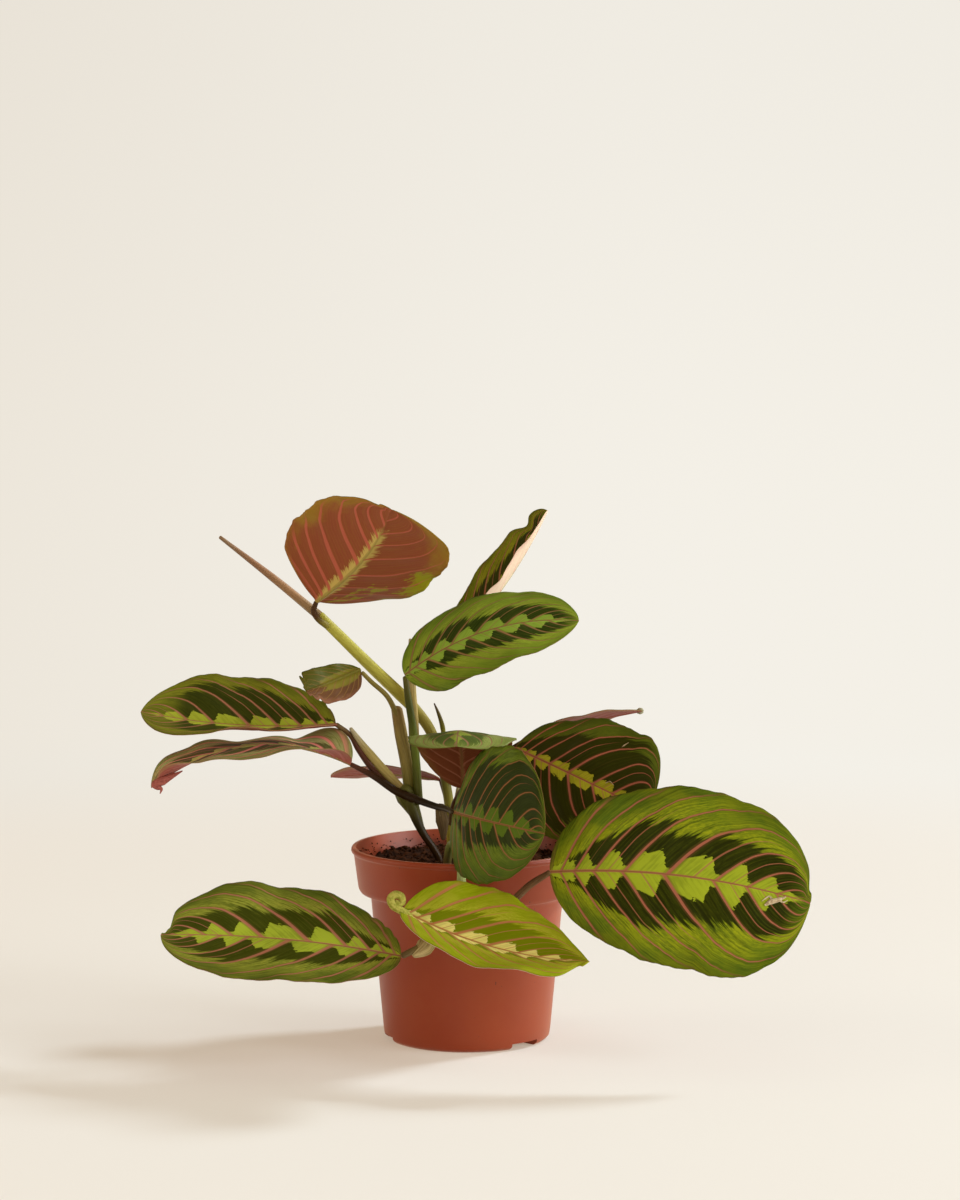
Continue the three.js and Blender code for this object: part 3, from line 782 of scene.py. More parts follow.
@dataclass(frozen=True)
class PotFinish:
    """Thin moulded plastic, scuffed and dusty from potting.

    inner is the radius of the collar's inner wall at the height ledge and slope how fast it grows
    from there, in metres: the soil's smears lie inside that wall.
    """

    base: Colour = (0.255, 0.034, 0.005)
    worn: Colour = (0.3, 0.062, 0.014)
    dirt: Colour = (0.045, 0.02, 0.012)
    roughness: float = 0.42
    gloss: float = 0.3
    sheen: float = 0.34
    sheen_spread: float = 0.4
    sheen_tint: Colour = (1.0, 0.56, 0.36)
    relief: Relief = Relief(0.12, 0.0006)
    ledge: float = 0.0784
    inner: float = 0.0542
    slope: float = 0.1525

    def soiled(self, x: Signal, y: Signal, z: Signal) -> Signal:
        """Marks the inner wall over the soil.

        Args:
            x: where a point lies, in metres.
            y: the same.
            z: the same.

        Returns:
            1 on the wall near the soil, 0 away from it.
        """
        beyond = (x * x + y * y).math("SQRT") - (z - self.ledge) * self.slope - self.inner
        return beyond.step(0.0008, 0.0003) * z.step(0.082, 0.086) * z.step(0.0985, 0.09)

    def material(self, name: str, groups: Groups) -> bpy.types.Material:
        """Makes the pot's material.

        Args:
            name: the material's name.
            groups: the shared node groups.

        Returns:
            The material.
        """
        material, tree, shader = new_material(name)
        where = tree.place_on_object()
        x, y, z = tree.parts(where)
        grit = groups.grit.place(tree)
        cloud, smear = Signal(tree, grit["cloud"]), Signal(tree, grit["smear"])
        colour = tree.mix(cloud.step(0.35, 0.7) * 0.3, self.base, self.worn)
        colour = tree.mix(smear * 0.12, colour, self.worn)
        colour = tree.mix(z.step(0.01, 0.0) * 0.2 * cloud.step(0.4, 0.7), colour, self.dirt)
        colour = tree.mix(self.soiled(x, y, z) * cloud.step(0.3, 0.6) * 0.7, colour, self.dirt)
        colour = tree.mix(grit["speck"], colour, self.dirt)
        tree.put(shader.inputs["Base Color"], colour)
        tree.put(shader.inputs["Roughness"], self.roughness + (cloud - 0.5) * 0.2 + smear * 0.08)
        self.relief.put(tree, shader, tree.noise(where, 900.0) * 0.25 + cloud * 0.6)
        set_shader(
            shader, Specular_IOR_Level=self.gloss, Sheen_Weight=self.sheen,
            Sheen_Roughness=self.sheen_spread, Sheen_Tint=(*self.sheen_tint, 1.0),
        )
        return material


@dataclass(frozen=True)
class SoilFinish:
    """Dark, moist potting mix."""

    dark: Colour = (0.013, 0.0045, 0.0014)
    light: Colour = (0.07, 0.022, 0.005)
    bark: Colour = (0.06, 0.028, 0.013)
    gloss: float = 0.05
    relief: Relief = Relief(0.8, 0.0012)

    def material(self, name: str) -> bpy.types.Material:
        """Makes the soil's material.

        Args:
            name: the material's name.

        Returns:
            The material.
        """
        material, tree, shader = new_material(name)
        where = tree.place_on_object()
        lumps = tree.noise(where, 260.0, 5.0, 0.65)
        colour = tree.mix(lumps.step(0.35, 0.75), self.dark, self.light)
        chips = tree.noise(where, 340.0, 1.0, 0.4)
        tree.put(shader.inputs["Base Color"], tree.mix(chips.step(0.66, 0.72), colour, self.bark))
        tree.put(shader.inputs["Roughness"], 0.72 + lumps * 0.25)
        self.relief.put(tree, shader, lumps)
        set_shader(shader, Specular_IOR_Level=self.gloss)
        return material


@dataclass(frozen=True)
class ScrapFinish:
    """Dried, papery bits of leaf, or small rolled ones."""

    pale: Colour = (0.55, 0.44, 0.26)
    brown: Colour = (0.3, 0.2, 0.1)

    def material(self, name: str) -> bpy.types.Material:
        """Makes the scraps' material.

        Args:
            name: the material's name.

        Returns:
            The material.
        """
        material, tree, shader = new_material(name)
        patches = tree.noise(tree.place_on_object(), 700.0, 3.0, 0.6)
        tree.put(shader.inputs["Base Color"], tree.mix(patches.step(0.4, 0.65), self.pale, self.brown))
        tree.put(shader.inputs["Roughness"], 0.7 + patches * 0.2)
        return material


# Meshes


def unit(vectors: np.ndarray) -> np.ndarray:
    """Scales vectors to length 1."""
    return vectors / np.maximum(np.linalg.norm(vectors, axis=-1, keepdims=True), 1e-12)


def between(values: tuple[float, ...], t: np.ndarray) -> np.ndarray:
    """Eases between values given at even steps from 0 to 1.

    Args:
        values: the values, numbers or rows of numbers.
        t: where to read them.

    Returns:
        The value at each t.
    """
    table = np.asarray(values, float)
    place = np.clip(t * (len(table) - 1), 0, len(table) - 1 - 1e-9)
    step = np.floor(place).astype(int)
    share = place - step
    share = share * share * (3 - 2 * share)
    if table.ndim > 1:
        share = share[..., None]
    return table[step] * (1 - share) + table[step + 1] * share


def link(name: str, data: bpy.types.ID) -> bpy.types.Object:
    """Makes an object of a mesh, light or camera and puts it in the scene.

    Args:
        name: the object's name.
        data: what it shows.

    Returns:
        The new object.
    """
    thing = bpy.data.objects.new(name, data)
    bpy.context.scene.collection.objects.link(thing)
    return thing


def mesh_object(
    name: str,
    points: np.ndarray,
    faces: list[tuple[int, ...]],
    material: bpy.types.Material,
    attributes: dict[str, np.ndarray],
) -> bpy.types.Object:
    """Makes a smooth-shaded mesh object.

    Args:
        name: the piece's name.
        points: vertex places in millimetres.
        faces: vertex numbers of each face.
        material: the finish.
        attributes: numbers or rows of three or four numbers for each vertex, by name.

    Returns:
        The new object, linked to the scene.
    """
    mesh = bpy.data.meshes.new(name)
    mesh.from_pydata((points * MM).tolist(), [], faces)
    kinds = {3: ("FLOAT_VECTOR", "vector"), 4: ("FLOAT_COLOR", "color")}
    for key, values in attributes.items():
        kind, field_name = kinds[values.shape[-1]] if values.ndim == 2 else ("FLOAT", "value")
        layer = mesh.attributes.new(key, kind, "POINT")
        layer.data.foreach_set(field_name, values.astype(np.float32).ravel())
    mesh.polygons.foreach_set("use_smooth", [True] * len(mesh.polygons))
    mesh.materials.append(material)
    mesh.update()
    return link(name, mesh)


def ring_quads(rows: int, sides: int) -> list[tuple[int, ...]]:
    """Joins rings of vertices, one after the other, with four-sided faces.

    Args:
        rows: how many rings there are.
        sides: how many vertices each has.

    Returns:
        The vertex numbers of each face.
    """
    at = np.arange(rows * sides).reshape(rows, sides)
    nxt = np.roll(at, -1, axis=1)
    quads = np.stack([at[:-1], nxt[:-1], nxt[1:], at[1:]], axis=-1).reshape(-1, 4)
    return [tuple(q) for q in quads.tolist()]


def settle(piece: bpy.types.Object, slot: str, *nodes: str) -> bpy.types.Object:
    """Lets a piece ride on the root and stand for its CAD nodes.

    Args:
        piece: the piece.
        slot: not used.
        nodes: the nodes that it replaces.

    Returns:
        The piece.
    """
    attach(piece, "root")
    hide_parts(*nodes)
    log.info("%s: %d faces", piece.name, len(piece.data.polygons))
    return piece


def sharpen(piece: bpy.types.Object, degrees: float) -> None:
    """Keeps the sharp edges of a smooth-shaded mesh crisp.

    Args:
        piece: the piece.
        degrees: the angle over which an edge is sharp.
    """
    mesh = bmesh.new()
    mesh.from_mesh(piece.data)
    for face in mesh.faces:
        face.smooth = True
    for edge in mesh.edges:
        edge.smooth = not (edge.is_manifold and edge.calc_face_angle(0.0) > math.radians(degrees))
    mesh.to_mesh(piece.data)
    mesh.free()


# Stems


class Kind(Enum):
    """What a stalk is: how dry it is, how far its seam stands out, and how deep its ribs are."""

    PETIOLE = (0.0, 0.0, 0.02)
    SHEATH = (0.35, 0.16, 0.03)
    PAPERY = (0.9, 0.22, 0.07)
    ROLL = (0.1, 0.3, 0.01)


@dataclass(frozen=True)
class Stalk:
    """One stalk, petiole or sheath: centre points with a radius at each, in millimetres.

    tints are its colours at even steps along it, and depth flattens it from front to back. A cap is
    how far past the end a ring lies, in radii, after the share of the radius that it has.
    """

    points: tuple[Point, ...]
    radii: tuple[float, ...]
    tints: tuple[Colour, ...]
    kind: Kind = Kind.PETIOLE
    depth: float = 1.0

    SIDES = 28
    STEPS = 9
    RIBS = 9
    TWIST = 0.012
    START_CAP = (0.0, -0.35)
    END_CAPS = ((0.72, 0.45), (0.0, 0.7))

    def curve(self, u: float) -> np.ndarray:
        """Reads a centripetal curve through the centre points.

        Args:
            u: the share of the way along it.

        Returns:
            The point there.
        """
        points = np.asarray(self.points, float)
        last = len(points) - 1
        step = min(int(u * last), last - 1)
        w = u * last - step
        p1, p2 = points[step], points[step + 1]
        p0 = points[step - 1] if step > 0 else 2 * p1 - p2
        p3 = points[step + 2] if step + 2 <= last else 2 * p2 - p1
        legs = ((p0, p1), (p1, p2), (p2, p3))
        d0, d1, d2 = (max(np.linalg.norm(b - a), 1e-4) ** 0.5 for a, b in legs)
        m1 = d1 * ((p1 - p0) / d0 - (p2 - p0) / (d0 + d1) + (p2 - p1) / d1)
        m2 = d1 * ((p2 - p1) / d1 - (p3 - p1) / (d1 + d2) + (p3 - p2) / d2)
        return p1 + m1 * w + (3 * (p2 - p1) - 2 * m1 - m2) * w**2 + (2 * (p1 - p2) + m1 + m2) * w**3

    def tint(self, u: float) -> list[float]:
        """Returns the colour at a share of the way, with an alpha of 1."""
        colour = between(self.tints, np.array(u)) if len(self.tints) > 1 else self.tints[0]
        return [*colour, 1.0]

    def mesh(self) -> tuple[np.ndarray, list[tuple[int, ...]], dict[str, np.ndarray]]:
        """Sweeps the stalk's section along its curve.

        Returns:
            The points, the faces and the attributes by name.
        """
        count = (len(self.points) - 1) * self.STEPS
        places = np.linspace(0, 1, count + 1)
        centres = np.array([self.curve(u) for u in places])
        tangents = unit(np.gradient(centres, axis=0))
        lengths = np.concatenate([[0], np.cumsum(np.linalg.norm(np.diff(centres, axis=0), axis=1))])
        radii = np.interp(places * (len(self.radii) - 1), np.arange(len(self.radii)), self.radii)
        dryness, seam, ribs = self.kind.value
        angle = 2 * np.pi * np.arange(self.SIDES) / self.SIDES
        rings = [(0, *self.START_CAP), *((i, 1.0, 0.0) for i in range(count + 1))]
        rings += [(count, *cap) for cap in self.END_CAPS]
        across = np.array([0.0, 1.0, 0.0])
        rows, tints, fibres = [], [], []
        for i, scale, ahead in rings:
            across = unit(across - tangents[i] * (across @ tangents[i]))
            side = np.cross(tangents[i], across)
            twist = angle + self.TWIST * lengths[i]
            lap = seam * ((angle / (2 * np.pi)) - 0.5) + ribs * np.sin(self.RIBS * twist)
            shape = radii[i] * scale * (1 + lap)[:, None]
            way = np.cos(angle)[:, None] * side - self.depth * np.sin(angle)[:, None] * across
            rows.append(centres[i] + tangents[i] * radii[i] * ahead + shape * way)
            tints.append(np.tile(self.tint(places[i]), (self.SIDES, 1)))
            along = np.full(self.SIDES, lengths[i] / 10)
            fibres.append(np.stack([np.cos(twist), np.sin(twist), along], axis=-1))
        dry = np.full(len(rings) * self.SIDES, dryness)
        attributes = {"tint": np.vstack(tints), "fibre": np.vstack(fibres), "dryness": dry}
        return np.vstack(rows), ring_quads(len(rings), self.SIDES), attributes


@dataclass(frozen=True)
class Stem:
    """A stem with its petioles and sheaths."""

    name: str
    slot: str
    stalks: tuple[Stalk, ...]
    finish: StalkFinish = StalkFinish()

    def build(self, groups: Groups) -> bpy.types.Object:
        """Builds the stem's stalks as one piece.

        Args:
            groups: the shared node groups.

        Returns:
            The piece.
        """
        points, faces, attributes = [], [], {"tint": [], "fibre": [], "dryness": []}
        count = 0
        for stalk in self.stalks:
            more, more_faces, more_attributes = stalk.mesh()
            points.append(more)
            faces += [tuple(i + count for i in face) for face in more_faces]
            count += len(more)
            for key, values in more_attributes.items():
                attributes[key].append(values)
        joined = {key: np.concatenate(values) for key, values in attributes.items()}
        material = self.finish.material(self.name + "_skin", groups)
        piece = mesh_object(self.name + "_stalks", np.vstack(points), faces, material, joined)
        self.dress(piece)
        return settle(piece, self.slot, self.name)

    @staticmethod
    def dress(piece: bpy.types.Object) -> None:
        """Closes the stalks' ends, whose last rings are a point each.

        Args:
            piece: the piece.
        """
        mesh = bmesh.new()
        mesh.from_mesh(piece.data)
        bmesh.ops.remove_doubles(mesh, verts=mesh.verts, dist=1e-7)
        mesh.to_mesh(piece.data)
        mesh.free()


# Leaves


@dataclass(frozen=True)
class Half:
    """One half of a blade, beside its midrib.

    half is its greatest width, belly the share of the length at which it has it, blunt how blunt it
    ends. fold is the angle in degrees by which it lifts at the midrib and curl what it lifts more on
    its way to the margin, both at even steps from base to tip. Each notch is where along the margin
    it lies, its depth as a share of the width, and its spread; a depth below 0 makes a bulge.
    """

    half: float
    belly: float
    blunt: float
    fold: tuple[float, ...]
    curl: tuple[float, ...] = (0.0, 0.0, 0.0)
    notches: tuple[tuple[float, float, float], ...] = ()

    BASE_ROUNDNESS = 2.3
    TIP_ROUNDNESS = 2.2

    def width(self, t: np.ndarray, seed: float) -> np.ndarray:
        """Lays out the half's width, with its small irregularities.

        Args:
            t: shares of the length, base 0 to tip 1.
            seed: a number that shifts the irregularities.

        Returns:
            The width in millimetres at each t.
        """
        before = np.clip((self.belly - t) / self.belly, 0, 1)
        beyond = np.clip((t - self.belly) / (1 - self.belly), 0, 1)
        rising = np.sqrt(np.clip(1 - before**self.BASE_ROUNDNESS, 0, 1))
        falling = (1 - beyond**self.TIP_ROUNDNESS) ** self.blunt
        outline = np.where(t < self.belly, rising, falling)
        uneven = 1 + 0.012 * np.sin(19 * t + seed) + 0.008 * np.sin(43 * t + 2.3 * seed)
        uneven = uneven + 0.006 * np.sin(97 * t + seed) * np.sin(31 * t + 1.9 * seed)
        for at, depth, spread in self.notches:
            uneven = uneven - depth * np.exp(-(((t - at) / spread) ** 2))
        return self.half * outline * uneven


@dataclass(frozen=True)
class Scrap:
    """A shred or a rolled margin on a blade.

    path is its way along and across the blade, or three coordinates of the plant at each point.
    radii and lift are in millimetres and flat is its thickness as a share of its width.
    """

    path: tuple[tuple[float, ...], ...]
    radii: tuple[float, ...]
    lift: float = 0.7
    finish: ScrapFinish = ScrapFinish()
    flat: float = 0.4


@dataclass(frozen=True)
class Blade:
    """A leaf blade: the two ends of its midrib, the way its upper side faces, and its two halves.

    arch lifts the midrib's middle towards face and sway moves it to the left, seen from above with
    the tip ahead. wave is the height of the margin's ripples and quilt that of the swells between
    the veins. rib and rib_width are the midrib's greatest height and width under the blade, and
    groove is its depth above. All in millimetres.
    """

    name: str
    base: Point
    tip: Point
    face: Point
    arch: float
    sway: float
    wave: float
    left: Half
    right: Half
    finish: LeafFinish
    slot: str = "leaf"
    quilt: float = 0.45
    rows: int = 112
    columns: int = 76
    thickness: float = 0.42
    rib: float = 1.05
    rib_width: float = 1.25
    groove: float = 0.22
    scraps: tuple[Scrap, ...] = ()

    def axes(self) -> tuple[np.ndarray, np.ndarray, np.ndarray]:
        """Finds the blade's own directions.

        Returns:
            The chord from base to tip, the way up from its middle, and its left.
        """
        chord = np.subtract(self.tip, self.base)
        along = unit(chord)
        face = np.asarray(self.face, float)
        up = unit(face - along * (face @ along))
        return chord, up, np.cross(up, along)

    def midrib(self, t: np.ndarray) -> np.ndarray:
        """Lays out the midrib.

        Args:
            t: shares of the length, base 0 to tip 1.

        Returns:
            The point at each t.
        """
        chord, up, left = self.axes()
        bow = (4 * t * (1 - t))[..., None]
        return np.asarray(self.base) + chord * t[..., None] + (up * self.arch + left * self.sway) * bow

    def ripples(self, t: np.ndarray, reach: np.ndarray, is_left: np.ndarray) -> np.ndarray:
        """Lays out the ripples of the margin.

        Args:
            t: shares of the length.
            reach: shares of the half's width, from the midrib.
            is_left: whether a place is on the left half.

        Returns:
            How far each place rises, in millimetres.
        """
        seed = self.finish.seed
        beat = np.sin(17 * t + np.where(is_left, 0, 2.4)) * np.sin(np.pi * t)
        small = np.sin(41 * t + np.where(is_left, seed, seed + 2)) * np.sin(np.pi * t)
        return self.wave * (reach**2 * beat + 0.22 * reach**4 * small)

    def swells(self, t: np.ndarray, v: np.ndarray) -> np.ndarray:
        """Lays out the swells between the veins.

        Args:
            t: shares of the length.
            v: shares of the width, right margin -1 to left margin 1.

        Returns:
            How far each place rises, in millimetres.
        """
        number = self.finish.veins.number(t, v, self.finish.seed)
        swell = np.sin(np.pi * (number % 1.0)) ** 1.4 - 0.5
        fade = np.sin(np.pi * np.clip(np.abs(v), 0, 1) ** 0.7)
        return self.quilt * swell * fade * np.sin(np.pi * t) ** 0.6

    def surface(self, t: np.ndarray, v: np.ndarray) -> tuple[np.ndarray, np.ndarray]:
        """Lays out the blade's middle surface.

        Args:
            t: shares of the length, base 0 to tip 1.
            v: shares of the width, right margin -1 to left margin 1.

        Returns:
            The points, and how far each is from the midrib in millimetres.
        """
        _, rise_way, _ = self.axes()
        ahead = self.midrib(np.minimum(t + 0.01, 1))
        tangent = unit(ahead - self.midrib(np.maximum(t - 0.01, 0)))
        up = unit(rise_way - tangent * (tangent @ rise_way)[..., None])
        left = np.cross(up, tangent)
        seed = self.finish.seed
        reach = np.abs(v)
        is_left = v >= 0

        def pick(read: Callable[[Half], np.ndarray]) -> np.ndarray:
            """Reads a value of the left or the right half."""
            return np.where(is_left, read(self.left), read(self.right))

        fold = np.radians(pick(lambda h: between(h.fold, t)))
        curl = np.radians(pick(lambda h: between(h.curl, t)))
        curl = np.where(np.abs(curl) < 1e-6, 1e-6, curl)
        width = pick(lambda h: h.width(t, seed + (0 if h is self.left else 1.7)))
        across = (np.sin(fold + curl * reach) - np.sin(fold)) / curl
        rise = (np.cos(fold) - np.cos(fold + curl * reach)) / curl
        height = width * rise + self.ripples(t, reach, is_left) + self.swells(t, v)
        sideways = (np.where(is_left, 1, -1) * width * across)[..., None]
        points = self.midrib(t) + left * sideways + up * height[..., None]
        return points, width * reach

    def build(self, groups: Groups) -> bpy.types.Object:
        """Builds the blade, upper and under side.

        Args:
            groups: the shared node groups.

        Returns:
            The piece.
        """
        u = np.linspace(-1, 1, self.columns + 1)
        columns = 0.6 * u + 0.4 * u**3
        rows = 0.5 - 0.5 * np.cos(np.pi * np.arange(1, self.rows) / self.rows)
        t, v = np.meshgrid(rows, columns, indexing="ij")
        points, span = self.surface(t, v)
        normal = unit(np.cross(np.gradient(points, axis=0), np.gradient(points, axis=1)))
        width = self.rib_width * (1 - 0.6 * t)
        rib = self.rib * (1 - 0.78 * t) * np.exp(-((span / width) ** 2))
        groove = self.groove * (1 - 0.5 * t) * np.exp(-((span / (0.8 * width)) ** 2))
        half = self.thickness / 2
        upper = points + normal * (half - groove)[..., None]
        under = points - normal * (half + rib)[..., None]
        ends = self.midrib(np.array([0.0, 1.0]))
        all_points = np.vstack([upper.reshape(-1, 3), under.reshape(-1, 3), ends])
        place = np.stack([t, v, span / 100], axis=-1).reshape(-1, 3)
        place_of_ends = np.array([[0.0, 0.0, 0.0], [1.0, 0.0, 0.0]])
        side = np.concatenate([np.ones(t.size), np.zeros(t.size), [0.5, 0.5]])
        attributes = {"blade": np.vstack([place, place, place_of_ends]), "upper": side}
        material = self.finish.material(self.name, groups)
        piece = mesh_object(self.name + "_blade", all_points, self.faces(*t.shape), material, attributes)
        self.dress(piece)
        return settle(piece, self.slot, self.name)

    def dress(self, piece: bpy.types.Object) -> None:
        """Adds the dried shreds and rolled bits that cling to the blade.

        Args:
            piece: the blade's piece.
        """
        _, up, _ = self.axes()
        mesh = bmesh.new()
        mesh.from_mesh(piece.data)
        for scrap in self.scraps:
            way = np.array(scrap.path)
            if way.shape[1] == 2:
                way = self.surface(*way.T)[0] + up * scrap.lift
            strip = Stalk(tuple(map(tuple, way)), scrap.radii, ((1.0, 1.0, 1.0),), Kind.PAPERY, scrap.flat)
            points, faces, _ = strip.mesh()
            corners = [mesh.verts.new(place * MM) for place in points]
            for face in faces:
                made = mesh.faces.new([corners[i] for i in face])
                made.smooth = True
                made.material_index = 1
        mesh.to_mesh(piece.data)
        mesh.free()
        if self.scraps:
            piece.data.materials.append(self.scraps[0].finish.material(self.name + "_scraps"))

    @staticmethod
    def faces(rows: int, columns: int) -> list[tuple[int, ...]]:
        """Joins the points of both sides, the rim and the two ends.

        Args:
            rows: how many rows of points a side has from base to tip.
            columns: how many points a row has.

        Returns:
            The vertex numbers of each face.
        """
        count = rows * columns
        at = np.arange(count).reshape(rows, columns)
        quads = np.stack([at[:-1, :-1], at[1:, :-1], at[1:, 1:], at[:-1, 1:]], axis=-1).reshape(-1, 4)
        faces = [tuple(q) for q in quads.tolist()]
        faces += [tuple(q) for q in (quads[:, ::-1] + count).tolist()]
        for line, turn in ((at[:, 0], 1), (at[:, -1], -1)):
            for a, b in zip(line[:-1].tolist(), line[1:].tolist()):
                faces.append((b, a, a + count, b + count)[::turn])
        for line, end, turn in ((at[0], 2 * count, 1), (at[-1], 2 * count + 1, -1)):
            loop = line.tolist() + (line[::-1] + count).tolist()
            for a, b in zip(loop, loop[1:] + loop[:1]):
                faces.append((end, a, b) if turn > 0 else (end, b, a))
        return faces


# Pot and soil


def lathe(name: str, profile: list[tuple[float, float]], segments: int) -> bpy.types.Object:
    """Turns a profile of radius and height, from axis to axis, into a closed body.

    Args:
        name: the object's name.
        profile: radius and height of each point in millimetres, bottom to top.
        segments: how many sides the body has.

    Returns:
        The new object.
    """
    angle = 2 * np.pi * np.arange(segments) / segments
    rings = [
        np.stack([r * np.cos(angle), r * np.sin(angle), np.full(segments, z)], axis=-1)
        for r, z in profile if r > 0
    ]
    faces = ring_quads(len(rings), segments)
    last = range((len(rings) - 1) * segments, len(rings) * segments)
    faces += [tuple(range(segments))[::-1], tuple(last)]
    mesh = bpy.data.meshes.new(name)
    mesh.from_pydata((np.vstack(rings) * MM).tolist(), [], faces)
    return link(name, mesh)


def radial_box(
    azimuth: float, start: float, end: float, width: float, low: float, high: float
) -> bpy.types.Object:
    """Makes a box that runs outward from the axis.

    Args:
        azimuth: its direction in degrees.
        start: how far from the axis it starts, in millimetres as all its sizes.
        end: how far from the axis it ends.
        width: its width.
        low: the height of its underside.
        high: the height of its top.

    Returns:
        The box.
    """
    mesh = bmesh.new()
    bmesh.ops.create_cube(mesh, size=1.0)
    for corner in mesh.verts:
        x = start if corner.co.x < 0 else end
        z = low if corner.co.z < 0 else high
        corner.co = Vector((x, corner.co.y * width, z)) * MM
    bmesh.ops.rotate(mesh, verts=mesh.verts, matrix=Euler((0, 0, math.radians(azimuth))).to_matrix())
    data = bpy.data.meshes.new("cutter")
    mesh.to_mesh(data)
    mesh.free()
    return link("cutter", data)


def cut(body: bpy.types.Object, tools: list[bpy.types.Object]) -> None:
    """Cuts the tools out of a body and deletes them.

    Args:
        body: what is cut.
        tools: the bodies to cut out of it.
    """
    for tool in tools:
        modifier = body.modifiers.new("cut", "BOOLEAN")
        modifier.operation = "DIFFERENCE"
        modifier.solver = "MANIFOLD"
        modifier.object = tool
        graph = bpy.context.evaluated_depsgraph_get()
        data = bpy.data.meshes.new_from_object(body.evaluated_get(graph))
        body.modifiers.clear()
        body.data = data
        bpy.data.objects.remove(tool)


def rounded(
    corners: list[tuple[float, float, float]],
    before: tuple[float, float],
    after: tuple[float, float],
    steps: int = 5,
    most: float = 0.45,
) -> list[tuple[float, float]]:
    """Rounds the corners of a profile.

    Args:
        corners: radius, height and rounding of each corner.
        before: the point before the first corner.
        after: the point after the last corner.
        steps: how many points a corner gets.
        most: the share of the way to the next corner that a rounding may take.

    Returns:
        The profile's points.
    """
    places = [np.array(before), *(np.array(c[:2]) for c in corners), np.array(after)]
    result = []
    for i, (_, _, size) in enumerate(corners, start=1):
        here = places[i]
        back, on = places[i - 1] - here, places[i + 1] - here
        start = here + unit(back) * min(size, most * np.linalg.norm(back))
        end = here + unit(on) * min(size, most * np.linalg.norm(on))
        for w in np.linspace(0, 1, steps):
            point = start * (1 - w) ** 2 + here * 2 * w * (1 - w) + end * w**2
            result.append((float(point[0]), float(point[1])))
    return result


@dataclass(frozen=True)
class Pot:
    """The nursery pot, in millimetres as in the part's source.

    hole is where a drainage hole starts and ends along its channel, and its width. crease is the
    angle in degrees over which an edge stays sharp.
    """

    height: float = 100.0
    rim_radius: float = 60.0
    lip_drop: float = 2.4
    collar_height: float = 24.0
    collar_foot: float = 56.2
    body_top: float = 49.8
    body_foot: float = 43.2
    base_radius: float = 40.5
    wall: float = 1.4
    floor: float = 1.8
    channels: tuple[float, ...] = (75.0, 195.0, 315.0)
    channel_width: float = 18.0
    channel_height: float = 3.3
    channel_start: float = 21.0
    hole: tuple[float, float, float] = (27.0, 35.0, 6.0)
    segments: int = 240
    crease: float = 38.0
    finish: PotFinish = PotFinish()

    def outside(self) -> list[tuple[float, float]]:
        """Draws the outer profile with its edges rounded.

        Returns:
            Radius and height of each point.
        """
        ledge, lip = self.height - self.collar_height, self.height - self.lip_drop
        corners = [
            (self.base_radius, 0.0, 0.8), (self.base_radius + 2.2, 1.6, 1.0), (self.body_foot, 4.5, 2.0),
            (self.body_top, ledge - 1.5, 1.2), (self.body_top + 1.2, ledge, 0.6),
            (self.collar_foot - 1.2, ledge + 0.6, 0.8), (self.collar_foot, ledge + 2.6, 1.2),
            (self.rim_radius - 1.4, lip - 1, 0.8), (self.rim_radius - 0.2, lip, 0.4),
            (self.rim_radius, self.height - self.lip_drop / 2, 0.6),
            (self.rim_radius - 0.7, self.height, 0.35),
        ]
        return [(0.0, 0.0), *rounded(corners, (0.0, 0.0), (0.0, self.height)), (0.0, self.height)]

    def inside(self, clearance: float) -> list[tuple[float, float]]:
        """Draws the inner profile.

        Args:
            clearance: how far it is drawn in.

        Returns:
            Radius and height of each point.
        """
        wall = self.wall + clearance
        ledge, top = self.height - self.collar_height, self.height + 2
        return [
            (0.0, self.floor + clearance), (self.base_radius - wall + 0.4, self.floor + clearance),
            (self.body_foot - wall, 6.0), (self.body_top - wall, ledge + 0.4),
            (self.collar_foot - wall - 0.6, ledge + 2.4), (self.rim_radius - 0.8 - wall, top), (0.0, top),
        ]

    def channel(self, azimuth: float, grow: float = 0.0) -> bpy.types.Object:
        """Makes the body of a drainage channel.

        Args:
            azimuth: its direction in degrees.
            grow: how far its sides and its top are moved out.

        Returns:
            The body.
        """
        start, end = self.channel_start - grow, self.base_radius + 10
        return radial_box(azimuth, start, end, self.channel_width + 2 * grow, -1, self.channel_height + grow)

    def roofs(self, clearance: float) -> list[bpy.types.Object]:
        """Makes the raised roofs of the drainage channels, to cut out of what fills the pot.

        Args:
            clearance: how far they stand off.

        Returns:
            One body for each channel.
        """
        return [self.channel(azimuth, self.wall + clearance) for azimuth in self.channels]

    def build(self, groups: Groups) -> bpy.types.Object:
        """Builds the pot and cuts its cavity, channels and holes.

        Args:
            groups: the shared node groups.

        Returns:
            The piece.
        """
        pot = lathe("pot_shell", self.outside(), self.segments)
        cavity = lathe("cavity", self.inside(0.0), self.segments)
        cut(cavity, self.roofs(0.0))
        tools = [cavity]
        start, end, width = self.hole
        for azimuth in self.channels:
            tools.append(self.channel(azimuth))
            tools.append(radial_box(azimuth, start, end, width, 1, 3 * self.channel_height))
        cut(pot, tools)
        self.dress(pot, groups)
        return settle(pot, "pot_plastic", "pot")

    def dress(self, pot: bpy.types.Object, groups: Groups) -> None:
        """Gives the pot its plastic and its crisp edges.

        Args:
            pot: the piece.
            groups: the shared node groups.
        """
        pot.data.materials.clear()
        pot.data.materials.append(self.finish.material("pot_plastic", groups))
        sharpen(pot, self.crease)


